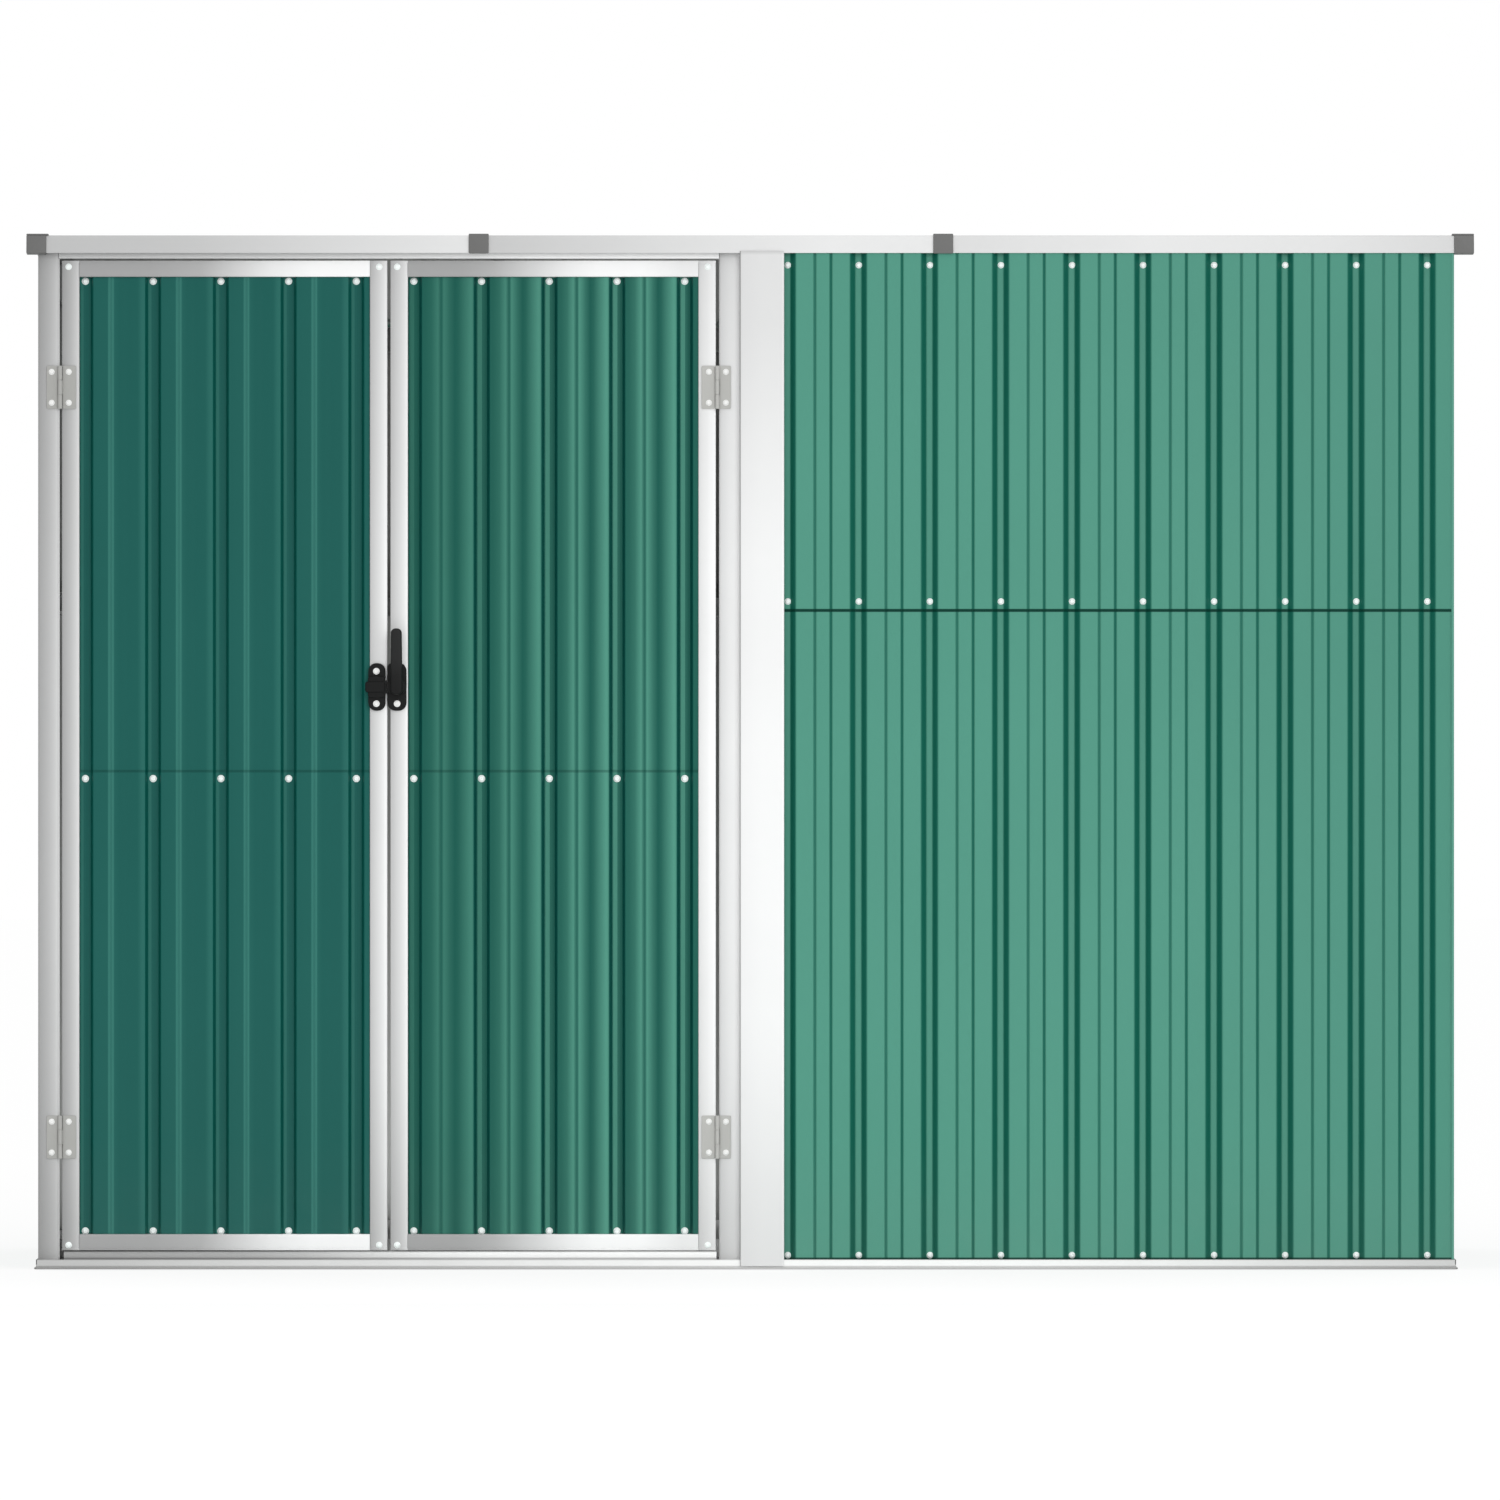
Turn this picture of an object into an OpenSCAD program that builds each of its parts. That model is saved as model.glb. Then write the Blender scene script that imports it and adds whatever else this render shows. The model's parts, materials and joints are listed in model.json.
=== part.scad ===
// Metal storage shed with a pent roof, ribbed sheet walls and a pair of hinged doors.
// Millimetres, +Z up, the doors face -Y, the origin is under the middle of the shed on the ground.

/* [Overall] */
// Width over the roof caps
roof_w = 2250; // [2100:1:2400]
// Depth over the roof caps
roof_d = 890; // [840:1:960]
// Height of the front roof caps
height = 1610; // [1540:1:1700]
// Fall of the roof towards the back in degrees
slope = 7; // [5:0.5:9]
// Roof overhang past the left post
over_left = 17.5; // [12:0.5:30]
// Roof overhang past the right corner
over_right = 31; // [20:0.5:40]
// Depth of the roof that lies outside the frame planes
roof_over_d = 64; // [60:1:90]

/* [Ribbed sheets] */
// Sheet thickness measured square to the wall
sheet_t = 0.8; // [0.6:0.1:1.2]
// Depth of the valleys
rib_d = 10; // [8:0.5:11]
// Pitch of the wall and roof valleys
wall_pitch = 110.5; // [100:0.5:112]
// Half the floor of a wall valley
wall_floor = 5.5; // [4:0.5:8]
// Width of one sloping side of a wall valley
wall_side = 9.5; // [6:0.5:12]
// Pitch of the door valleys
door_pitch = 105.4; // [98:0.2:106]
// Half the floor of a door valley
door_floor = 7.5; // [5:0.5:8]
// Width of one sloping side of a door valley
door_side = 5.5; // [4:0.5:8]
// Distance of the two grooves from the middle of a pan
groove_off = 12.5; // [10:0.5:16]
// Width of a groove
groove_w = 7; // [5:0.5:9]
// Depth of a groove
groove_d = 2; // [1:0.25:3]
// Lower edge of the upper wall sheets
wall_lap_z = 1024; // [950:1:1100]
// Upper edge of the lower door sheets
door_lap_z = 774; // [700:1:850]
// Overlap of lapped sheets
lap = 28; // [20:1:40]

/* [Frame] */
// Thickness of the frame profiles
prof_t = 1.2; // [1:0.1:1.6]
// Height of the base rail face
base_h = 15; // [12:0.5:20]
// Depth of the base channel behind the frame plane
base_d = 45; // [44:0.5:55]
// Distance of the base rail face in front of the frame plane
base_out = 13.2; // [13.2:0.1:16]
// Height and reach of the foot lip under the base rails
foot_lip = 3; // [2:0.5:4]
// Height of the sheet carrier on the base rails
carrier_h = 45; // [35:1:60]
// Flange width of the inner corner posts
post_a = 42; // [36:1:43]
// Face width of the left door post
post_w = 32; // [30:1:40]
// Depth of the leg of the left door post that carries the side sheets
post_leg = 40; // [30:1:42]
// Depth of the outer return of the left door post
post_return = 35; // [25:1:40]
// Face width of the right door post
jamb_w = 50; // [44:1:52]
// Part of the right door post left of the cover strip
jamb_show = 32; // [25:1:40]
// Width of the cover strip
strip_w = 69.3; // [60:0.1:72]
// Depth of the rails
rail_d = 25; // [20:1:30]
// Height of the mid rails
mid_h = 30; // [20:1:40]
// Height of the front wall top rail
wall_rail_h = 42; // [35:1:60]
// Width of the green corner trims on the side walls
corner_w = 27; // [20:1:35]
// Width of the corner trim lips on the front and back walls
corner_lip = 4; // [3:0.5:8]

/* [Doors] */
// Width of one door leaf
leaf_w = 506; // [480:1:515]
// Clearance round a leaf
door_gap = 5; // [5:0.5:8]
// Face width of stiles
stile_w = 27; // [24:1:32]
// Face height of the leaf rails
leaf_rail_h = 23; // [20:1:30]
// Depth of the leaf frame
leaf_d = 16; // [15:0.5:20]
// Width of the sheet flange of the leaf frame
leaf_flange = 18; // [14:1:24]
// Height of the threshold
sill_h = 26; // [22:1:32]
// Height of a hinge
hinge_h = 67; // [50:1:80]
// Width of one hinge leaf from the pin
hinge_w = 21; // [16:1:24]
// Radius of a hinge barrel
barrel_r = 3.4; // [3:0.1:3.4]
// Radius of a hinge pin
pin_r = 2; // [1.5:0.1:2.2]
// Height of the middle of the lower hinges
hinge_low_z = 205; // [150:1:300]
// Distance of the middle of the upper hinges below the roof caps
hinge_top_drop = 239; // [200:1:320]
// Height of the latch spindle
latch_z = 905; // [800:1:1000]
// Reach of the latch lever in front of the leaf face
latch_proud = 24; // [20:0.5:30]

/* [Roof edge] */
// Height of the edge trim
trim_h = 28; // [24:0.5:32]
// Width of the edge trim flange
trim_w = 22; // [18:0.5:28]
// Thickness of the edge trim
trim_t = 1; // [0.8:0.1:1.5]
// Distance of the trim face before the frame plane along the slope
trim_v = 12.2; // [12.2:0.1:16]
// Width of a roof cap
cap_w = 31; // [26:0.5:36]
// Wall thickness of a roof cap
cap_t = 2.2; // [1.5:0.1:3]
// Middle of the left joint cap
cap_x1 = -422; // [-480:1:-360]
// Middle of the right joint cap
cap_x2 = 300; // [240:1:360]

/* [Fits] */
// Clearance between pieces that are screwed together
seat = 0.1; // [0.05:0.05:0.15]
// Radial clearance of the hinge pins
pin_fit = 0.1; // [0.05:0.01:0.15]
// Radial clearance of the latch spindle
spindle_fit = 0.2; // [0.1:0.05:0.3]

/* [Hidden] */
// Shift that nests one lapped sheet on the next
lift = sheet_t + seat;
pan_top = rib_d + sheet_t;
// Levels square to the roof, measured from the underside of the valleys
trim_top = pan_top + lift + seat + trim_t;
trim_low = trim_top - trim_h;
cap_top = trim_top + 2 * seat + cap_t;
cap_low = trim_low - 1.6;
cap_v = trim_v + 2 * seat + cap_t;
cap_proud = cap_v * cos(slope) - cap_low * sin(slope);
// Frame planes
frame_d = roof_d - roof_over_d;
face_y = (latch_proud + cap_proud - roof_d) / 2;
back_y = face_y + frame_d;
body_l = over_left - roof_w / 2;
body_r = roof_w / 2 - over_right;
corner_t = 0.8;
frame_l = body_l + prof_t + 2 * seat + pan_top + lift;
frame_r = body_r - corner_t - 2 * seat - pan_top - lift;
base_l = body_l - 2.5;
base_r = body_r + 3;
// Roof plane and back edge
roof_z = height - cap_v * sin(slope) - cap_top * cos(slope);
cap_back = (roof_d - cap_proud - cap_top * sin(slope)) / cos(slope);
trim_back = cap_back - 2 * seat - cap_t;
trim_x = roof_w / 2 - 2 * seat - cap_t;
// Side edges of the roof, close outside the side walls
side_l = body_l - seat - trim_t;
side_r = body_r + seat + trim_t;
sheet_l = side_l + trim_t + 3 * seat;
sheet_r = side_r - trim_t - 3 * seat;
sheet_front = -(trim_v - trim_t - 3 * seat);
sheet_back = trim_back - trim_t - 3 * seat;
trim_low_z = roof_z + trim_v * sin(slope) + trim_low * cos(slope);
// Doorway
post_x = body_l + post_w;
leaf_l = post_x + door_gap;
leaf_r = leaf_l + leaf_w + door_gap;
jamb_x = leaf_r + leaf_w + door_gap;
strip_x = jamb_x + jamb_show;
header_z = height - 39;
leaf_z0 = sill_h + door_gap;
leaf_z1 = header_z - door_gap;
hinge_zs = [hinge_low_z, height - hinge_top_drop];
hinge_y = face_y - barrel_r - 2 * seat;
plate_t = 1.6;
// Walls
rail_top = roof_z - rail_d * tan(slope) - seat;
back_rail_top = roof_z - frame_d * tan(slope) - seat;
back_rail_h = 40;
mid_x = (frame_l + frame_r) / 2;
mid_w = 50;
mid_z = wall_lap_z + 14;
wall_x = jamb_x + jamb_w + 2;
wall_end = body_r - corner_t - 3 * seat;
wall_valley = strip_x + strip_w + 5.7;
front_top = roof_z - 8.5;
roof_pitches = 19;
roof_valley = (sheet_l + sheet_r - roof_pitches * wall_pitch) / 2;
lap_x1 = roof_valley + 6 * wall_pitch;
lap_x2 = roof_valley + 12 * wall_pitch;
lap_side = wall_floor + wall_side + 5;
// Latch
latch_x = leaf_r + 11.5;
plate_w = 26;
plate_y = 3;
plate_half = 37;
keeper_x = leaf_l + leaf_w - 16.8;
spindle_r = 4;
spindle_h = 13;
green = [0.16, 0.42, 0.36];
grey = [0.86, 0.87, 0.87];
cap_grey = [0.46, 0.46, 0.46];
hinge_grey = [0.67, 0.67, 0.65];
black = [0.1, 0.1, 0.11];
$fn = 48;

// Ribbed sheet profile

// One pitch from valley to valley: floor, sloping side, pan with two grooves
function pitch_table(p, fl, sd) = [
  [0, 0],
  [fl, 0],
  [fl + sd, rib_d],
  [p / 2 - groove_off - groove_w / 2, rib_d],
  [p / 2 - groove_off, rib_d - groove_d],
  [p / 2 - groove_off + groove_w / 2, rib_d],
  [p / 2 + groove_off - groove_w / 2, rib_d],
  [p / 2 + groove_off, rib_d - groove_d],
  [p / 2 + groove_off + groove_w / 2, rib_d],
  [p - fl - sd, rib_d],
  [p - fl, 0],
  [p, 0]
];
function within(u, p) = u - p * floor(u / p);
function rib(u, v0, p, tab) = [u, lookup(within(u - v0, p), tab)];
function rib_line(a, b, v0, p, tab) = concat(
  [rib(a, v0, p, tab)],
  [
    for (k = [floor((a - v0) / p) : ceil((b - v0) / p)], s = tab)
      let (u = v0 + k * p + s[0])
      if (s[0] > 0 && s[0] < p && u > a + 0.2 && u < b - 0.2) [u, s[1]]
  ],
  [rib(b, v0, p, tab)]
);
// Side 0 faces -Y, 1 faces +Y, 2 faces -X, 3 faces +X
function turn(q, side) =
  side == 0 ? [q[0], -q[1]] :
  side == 1 ? [q[0], q[1]] :
  side == 2 ? [-q[1], q[0]] : [q[1], q[0]];
function sheet_poly(line, up, side) = concat(
  [for (q = line) turn([q[0], q[1] + up], side)],
  [for (i = [len(line) - 1 : -1 : 0]) turn([line[i][0], line[i][1] + up + sheet_t], side)]
);
function wall_line(a, b, v0) = rib_line(a, b, v0, wall_pitch, pitch_table(wall_pitch, wall_floor, wall_side));
function door_line(a, b, v0) = rib_line(a, b, v0, door_pitch, pitch_table(door_pitch, door_floor, door_side));

module upright(z0, z1) {
  translate([0, 0, z0])
    linear_extrude(height = z1 - z0)
      children();
}

// Profiles

// Profile in Y and Z drawn along X
module along_x(x0, x1) {
  translate([x0, 0, 0])
    rotate([90, 0, 90])
      linear_extrude(height = x1 - x0)
        children();
}

// Profile in X and Z drawn along Y
module along_y(y0, y1) {
  translate([0, y1, 0])
    rotate([90, 0, 0])
      linear_extrude(height = y1 - y0)
        children();
}

// Channel with its web on the first axis at 0 and both flanges towards s
function channel(w, h, s) = [
  [0, 0],
  [s * w, 0],
  [s * w, prof_t],
  [s * prof_t, prof_t],
  [s * prof_t, h - prof_t],
  [s * w, h - prof_t],
  [s * w, h],
  [0, h]
];

// Roof frame: X across, Y down the slope from the front frame plane, Z square to the roof
module on_roof() {
  translate([0, face_y, roof_z])
    rotate([-slope, 0, 0])
      children();
}

module under_roof(drop) {
  difference() {
    children();
    on_roof()
      translate([-roof_w, -roof_d, -drop])
        cube([2 * roof_w, 3 * roof_d, height]);
  }
}

// Base

// Channel with an outer face and a foot lip, reaching towards s
function base_profile(s) = [
  [-s * (base_out + foot_lip), 0],
  [s * base_d, 0],
  [s * base_d, prof_t],
  [-s * (base_out - prof_t), prof_t],
  [-s * (base_out - prof_t), base_h],
  [-s * base_out, base_h],
  [-s * base_out, foot_lip],
  [-s * (base_out + foot_lip), foot_lip]
];

module base_ends(y0, y1) {
  for (x = [base_l, base_r - prof_t])
    translate([x, y0, 0])
      cube([prof_t, y1 - y0, base_h]);
  for (x = [base_l - foot_lip, base_r - prof_t])
    translate([x, y0, 0])
      cube([foot_lip + prof_t, y1 - y0, foot_lip]);
}

// Inner upturn between the side frame planes
module base_upturn(y) {
  translate([frame_l + prof_t, y, 0])
    cube([frame_r - frame_l - 2 * prof_t, prof_t, base_h]);
}

module front_base_rail() {
  color(grey) {
    translate([0, face_y, 0])
      along_x(base_l, base_r)
        polygon(base_profile(1));
    base_ends(face_y - base_out, face_y + base_d);
    base_upturn(face_y + base_d - prof_t);
    translate([jamb_x + jamb_w + seat, face_y, 0])
      cube([frame_r - post_a - jamb_x - jamb_w - 2 * seat, prof_t, carrier_h]);
  }
}

module back_base_rail() {
  color(grey) {
    translate([0, back_y, 0])
      along_x(base_l, base_r)
        polygon(base_profile(-1));
    base_ends(back_y - base_d, back_y + base_out);
    base_upturn(back_y - base_d);
    translate([frame_l + post_a + seat, back_y - prof_t, 0])
      cube([mid_x - mid_w / 2 - frame_l - post_a - 2 * seat, prof_t, carrier_h]);
    translate([mid_x + mid_w / 2 + seat, back_y - prof_t, 0])
      cube([frame_r - post_a - mid_x - mid_w / 2 - 2 * seat, prof_t, carrier_h]);
  }
}

// The side rails run between the front and back rails
module side_base(edge, plane, s) {
  y0 = face_y + base_d + seat;
  y1 = back_y - base_d - seat;
  along_y(y0, y1)
    polygon([
      [edge - s * foot_lip, 0],
      [plane + s * base_d, 0],
      [plane + s * base_d, base_h],
      [plane + s * (base_d - prof_t), base_h],
      [plane + s * (base_d - prof_t), prof_t],
      [plane + s * prof_t, prof_t],
      [plane + s * prof_t, carrier_h],
      [plane, carrier_h],
      [plane, prof_t],
      [edge + s * prof_t, prof_t],
      [edge + s * prof_t, base_h],
      [edge, base_h],
      [edge, foot_lip],
      [edge - s * foot_lip, foot_lip]
    ]);
}

module left_base_rail() {
  color(grey) side_base(base_l, frame_l, 1);
}

module right_base_rail() {
  color(grey) side_base(base_r, frame_r, -1);
}

// Sill in the doorway with a stop behind the leaves
module threshold() {
  stop_y = leaf_d + 8 + door_gap;
  color(grey)
    translate([0, face_y, 0])
      along_x(post_x + 8, jamb_x - 4)
        polygon([
          [0, prof_t],
          [0, sill_h],
          [stop_y, sill_h],
          [stop_y, carrier_h],
          [stop_y + prof_t, carrier_h],
          [stop_y + prof_t, sill_h - prof_t],
          [prof_t, sill_h - prof_t],
          [prof_t, prof_t]
        ]);
}

// Posts

// Front corner profile: face, outer return over the side sheets, sheet carrier and door side
module left_door_post() {
  w = post_w;
  c = frame_l - body_l;
  color(grey)
    under_roof(seat)
      translate([body_l, face_y, 0])
        upright(prof_t, height)
          polygon([
            [0, 0],
            [w, 0],
            [w, rail_d],
            [w - prof_t, rail_d],
            [w - prof_t, prof_t],
            [c + prof_t, prof_t],
            [c + prof_t, post_leg],
            [c, post_leg],
            [c, prof_t],
            [prof_t, prof_t],
            [prof_t, post_return],
            [0, post_return]
          ]);
}

module right_door_post() {
  w = jamb_w;
  color(grey)
    under_roof(seat)
      translate([jamb_x, face_y, 0])
        upright(prof_t, height)
          polygon([
            [0, 0],
            [w, 0],
            [w, rail_d],
            [w - prof_t, rail_d],
            [w - prof_t, prof_t],
            [prof_t, prof_t],
            [prof_t, rail_d],
            [0, rail_d]
          ]);
}

// Angle with its corner at 0, flanges towards sx and sy
module corner_angle(sx, sy) {
  polygon([
    [0, 0],
    [sx * post_a, 0],
    [sx * post_a, sy * prof_t],
    [sx * prof_t, sy * prof_t],
    [sx * prof_t, sy * post_a],
    [0, sy * post_a]
  ]);
}

module inner_posts() {
  color(grey) {
    under_roof(seat)
      translate([frame_r, face_y, 0])
        upright(prof_t, height)
          corner_angle(-1, 1);
    under_roof(seat)
      translate([frame_r, back_y, 0])
        upright(prof_t, height)
          corner_angle(-1, -1);
    under_roof(seat)
      translate([frame_l, back_y, 0])
        upright(prof_t, height)
          corner_angle(1, -1);
    translate([mid_x - mid_w / 2, back_y, 0])
      upright(prof_t, back_rail_top - back_rail_h - seat)
        polygon([
          [0, 0],
          [mid_w, 0],
          [mid_w, -rail_d],
          [mid_w - prof_t, -rail_d],
          [mid_w - prof_t, -prof_t],
          [prof_t, -prof_t],
          [prof_t, -rail_d],
          [0, -rail_d]
        ]);
  }
}

// Rails

module door_header() {
  color(grey)
    translate([0, face_y, header_z])
      along_x(post_x + seat, jamb_x - seat)
        polygon(channel(rail_d, rail_top - header_z, 1));
}

module front_wall_top_rail() {
  color(grey)
    translate([0, face_y, rail_top - wall_rail_h])
      along_x(jamb_x + jamb_w + seat, frame_r - post_a - seat)
        polygon(channel(rail_d, wall_rail_h, 1));
}

module side_top_rail(plane, s, y_front) {
  on_roof()
    translate([plane, 0, -rail_d - seat])
      along_y((y_front + 4) / cos(slope), (frame_d - post_a - 1) / cos(slope))
        polygon(channel(rail_d, rail_d, s));
}

module top_rails() {
  color(grey) {
    translate([0, back_y, back_rail_top - back_rail_h])
      along_x(frame_l + post_a + seat, frame_r - post_a - seat)
        polygon(channel(rail_d, back_rail_h, -1));
    side_top_rail(frame_l, 1, post_leg);
    side_top_rail(frame_r, -1, post_a);
  }
}

// Rafters under the laps of the roof sheets
module rafters() {
  color(grey)
    for (x = [lap_x1, lap_x2])
      on_roof()
        translate([x - 10, 0, -22 - seat])
          along_y((rail_d + 4) / cos(slope), (frame_d - rail_d - 1) / cos(slope))
            polygon(channel(20, 22, 1));
}

module mid_rails() {
  z0 = mid_z - mid_h / 2;
  color(grey) {
    translate([0, face_y, z0])
      along_x(jamb_x + jamb_w + seat, frame_r - post_a - seat)
        polygon(channel(rail_d, mid_h, 1));
    translate([0, back_y, z0])
      along_x(frame_l + post_a + seat, mid_x - mid_w / 2 - seat)
        polygon(channel(rail_d, mid_h, -1));
    translate([0, back_y, z0])
      along_x(mid_x + mid_w / 2 + seat, frame_r - post_a - seat)
        polygon(channel(rail_d, mid_h, -1));
    translate([frame_l, 0, z0])
      along_y(face_y + post_leg + seat, back_y - post_a - seat)
        polygon(channel(rail_d, mid_h, 1));
    translate([frame_r, 0, z0])
      along_y(face_y + post_a + seat, back_y - post_a - seat)
        polygon(channel(rail_d, mid_h, -1));
  }
}

// Flat strip over the joint of the door post and the front wall
module cover_strip() {
  front = cap_proud - 1.2;
  z0 = foot_lip + 2;
  z1 = trim_low_z + 3;
  r0 = base_h + 0.5;
  r1 = trim_low_z - 1;
  color(grey)
    translate([strip_x, face_y - front, 0]) {
      translate([0, 0, z0])
        cube([strip_w, 1, z1 - z0]);
      translate([0, 0, r0])
        cube([1, front - seat, r1 - r0]);
      translate([strip_w - 1, 0, r0])
        cube([1, 4, r1 - r0]);
    }
}

// Wall sheets

module front_wall_upper_sheet() {
  color(green)
    translate([0, face_y - seat, 0])
      upright(wall_lap_z, front_top)
        polygon(sheet_poly(wall_line(wall_x, wall_end, wall_valley), lift, 0));
}

module front_wall_lower_sheet() {
  color(green)
    translate([0, face_y - seat, 0])
      upright(prof_t + seat, wall_lap_z + lap)
        polygon(sheet_poly(wall_line(wall_x, wall_end, wall_valley), 0, 0));
}

// Side sheets between the frame planes, with seven pitches set in the middle
function side_line() =
  let (a = face_y + prof_t + seat, b = back_y - 2 * seat)
  wall_line(a, b, (a + b) / 2 - 3.5 * wall_pitch);

module side_upper(plane, side) {
  s = side == 2 ? -1 : 1;
  under_roof(3 * seat)
    translate([plane + s * seat, 0, 0])
      upright(wall_lap_z, height)
        polygon(sheet_poly(side_line(), lift, side));
}

module side_lower(plane, side) {
  s = side == 2 ? -1 : 1;
  translate([plane + s * seat, 0, 0])
    upright(prof_t + seat, wall_lap_z + lap)
      polygon(sheet_poly(side_line(), 0, side));
}

module left_wall_upper_sheet() {
  color(green) side_upper(frame_l, 2);
}

module left_wall_lower_sheet() {
  color(green) side_lower(frame_l, 2);
}

module right_wall_upper_sheet() {
  color(green) side_upper(frame_r, 3);
}

module right_wall_lower_sheet() {
  color(green) side_lower(frame_r, 3);
}

function back_line() = wall_line(frame_l - rib_d, frame_r + rib_d, mid_x - 9.5 * wall_pitch);

module back_wall_upper_sheet() {
  color(green)
    under_roof(3 * seat)
      translate([0, back_y + seat, 0])
        upright(wall_lap_z, height)
          polygon(sheet_poly(back_line(), lift, 1));
}

module back_wall_lower_sheet() {
  color(green)
    translate([0, back_y + seat, 0])
      upright(prof_t + seat, wall_lap_z + lap)
        polygon(sheet_poly(back_line(), 0, 1));
}

// Folded angles over the sheet ends at the corners, lip towards sx, side flange towards sy
module corner_fold(sx, sy) {
  polygon([
    [0, 0],
    [sx * corner_lip, 0],
    [sx * corner_lip, sy * corner_t],
    [sx * corner_t, sy * corner_t],
    [sx * corner_t, sy * corner_w],
    [0, sy * corner_w]
  ]);
}

module corner_trims() {
  out = pan_top + lift + 3 * seat + corner_t;
  z0 = base_h + 0.5;
  color(green) {
    translate([body_r, face_y - out, 0])
      upright(z0, trim_low_z - 1)
        corner_fold(-1, 1);
    under_roof(3 * seat)
      translate([body_r, back_y + out, 0])
        upright(z0, height)
          corner_fold(-1, -1);
    under_roof(3 * seat)
      translate([frame_l - out, back_y + out, 0])
        upright(z0, height)
          corner_fold(1, -1);
  }
}

// Roof

module roof_sheet(x0, x1, up) {
  color(green)
    on_roof()
      along_y(sheet_front, sheet_back)
        polygon(sheet_poly(wall_line(x0, x1, roof_valley), up, 1));
}

module left_roof_sheet() {
  roof_sheet(sheet_l, lap_x1 + lap_side, 0);
}

module middle_roof_sheet() {
  roof_sheet(lap_x1 - lap_side, lap_x2 + lap_side, lift);
}

module right_roof_sheet() {
  roof_sheet(lap_x2 - lap_side, sheet_r, 0);
}

// Edge angle: face at 0 and top flange towards s
function edge_profile(s) = [
  [0, trim_low],
  [s * trim_t, trim_low],
  [s * trim_t, trim_top - trim_t],
  [s * trim_w, trim_top - trim_t],
  [s * trim_w, trim_top],
  [0, trim_top]
];

module edge_lengths(v, s) {
  stops = [[-trim_x, cap_x1 - 1], [cap_x1 + 1, cap_x2 - 1], [cap_x2 + 1, trim_x]];
  on_roof()
    for (e = stops)
      translate([0, v, 0])
        along_x(e[0], e[1])
          polygon(edge_profile(s));
}

module roof_front_trim() {
  color(grey) edge_lengths(-trim_v, 1);
}

module roof_back_trim() {
  color(grey) edge_lengths(trim_back, -1);
}

module roof_side_trims() {
  color(grey)
    on_roof()
      for (e = [[side_l, 1], [side_r, -1]])
        translate([e[0], 0, 0])
          along_y(trim_w - trim_v + 2 * seat, trim_back - trim_w - 2 * seat)
            polygon(edge_profile(e[1]));
}

// Block between two distances inward from a corner that points to sx and sy
module inward(sx, sy, x, y, z) {
  translate([sx > 0 ? -x[1] : x[0], sy > 0 ? -y[1] : y[0], z[0]])
    cube([x[1] - x[0], y[1] - y[0], z[1] - z[0]]);
}

// Hollow box over the trim ends, closed below and behind over the free width w
module corner_cap(sx, sy, w) {
  far = cap_w + 4.5;
  inward(sx, sy, [0, cap_w], [0, cap_t], [cap_low, cap_top]);
  inward(sx, sy, [0, cap_t], [0, cap_w], [cap_low, cap_top]);
  inward(sx, sy, [0, w], [cap_w - cap_t, cap_w], [cap_low, cap_top]);
  inward(sx, sy, [0, w], [0, cap_w], [cap_low, trim_low - 2 * seat]);
  inward(sx, sy, [0, far], [0, far], [cap_top - cap_t, cap_top]);
}

module roof_corner_caps() {
  color(cap_grey)
    on_roof()
      for (e = [[-1, side_l + roof_w / 2 - 2 * seat], [1, roof_w / 2 - side_r - 2 * seat]]) {
        translate([e[0] * roof_w / 2, -cap_v, 0])
          corner_cap(e[0], -1, e[1]);
        translate([e[0] * roof_w / 2, cap_back, 0])
          corner_cap(e[0], 1, e[1]);
      }
}

module roof_joint_caps() {
  h = cap_top - cap_low;
  color(cap_grey)
    on_roof()
      for (x = [cap_x1, cap_x2])
        for (e = [[-cap_v, 1], [cap_back, -1]])
          translate([x - cap_w / 2, e[0], 0]) {
            translate([0, min(0, e[1] * cap_t), cap_low])
              cube([cap_w, cap_t, h]);
            translate([0, min(0, e[1] * cap_w), cap_top - cap_t])
              cube([cap_w, cap_w, cap_t]);
          }
}

// Hinges

function hinge_x() = [(post_x + leaf_l) / 2, (leaf_r + leaf_w + jamb_x) / 2];
knuckle = hinge_h / 3;

// Plate beside the barrel, reaching towards s
module hinge_plate(s) {
  translate([s > 0 ? barrel_r + 0.4 : -hinge_w, 0, 0])
    cube([hinge_w - barrel_r - 0.4, plate_t, hinge_h]);
}

module hinge_tab(s, z0, z1) {
  translate([s > 0 ? 0 : -barrel_r - 1, 0, z0])
    cube([barrel_r + 1, plate_t, z1 - z0]);
}

// Fixed half: outer knuckles with the pin
module hinge_fixed(x, s) {
  gap = 0.3;
  for (z = hinge_zs)
    translate([x, hinge_y, z - hinge_h / 2]) {
      translate([0, face_y - seat - plate_t - hinge_y, 0]) {
        hinge_plate(s);
        hinge_tab(s, 0, knuckle - gap);
        hinge_tab(s, hinge_h - knuckle + gap, hinge_h);
      }
      cylinder(r = barrel_r, h = knuckle - gap);
      translate([0, 0, hinge_h - knuckle + gap])
        cylinder(r = barrel_r, h = knuckle - gap);
      cylinder(r = pin_r, h = hinge_h);
    }
}

// Moving half: middle knuckle bored for the pin
module hinge_moving(x, s) {
  for (z = hinge_zs)
    translate([x, hinge_y, z - hinge_h / 2])
      difference() {
        union() {
          translate([0, face_y - seat - plate_t - hinge_y, 0]) {
            hinge_plate(s);
            hinge_tab(s, knuckle, hinge_h - knuckle);
          }
          translate([0, 0, knuckle])
            cylinder(r = barrel_r, h = knuckle);
        }
        translate([0, 0, knuckle - 1])
          cylinder(r = pin_r + pin_fit, h = knuckle + 2);
      }
}

module hinge_post_leaves() {
  color(hinge_grey) {
    hinge_fixed(hinge_x()[0], -1);
    hinge_fixed(hinge_x()[1], 1);
  }
}

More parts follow.
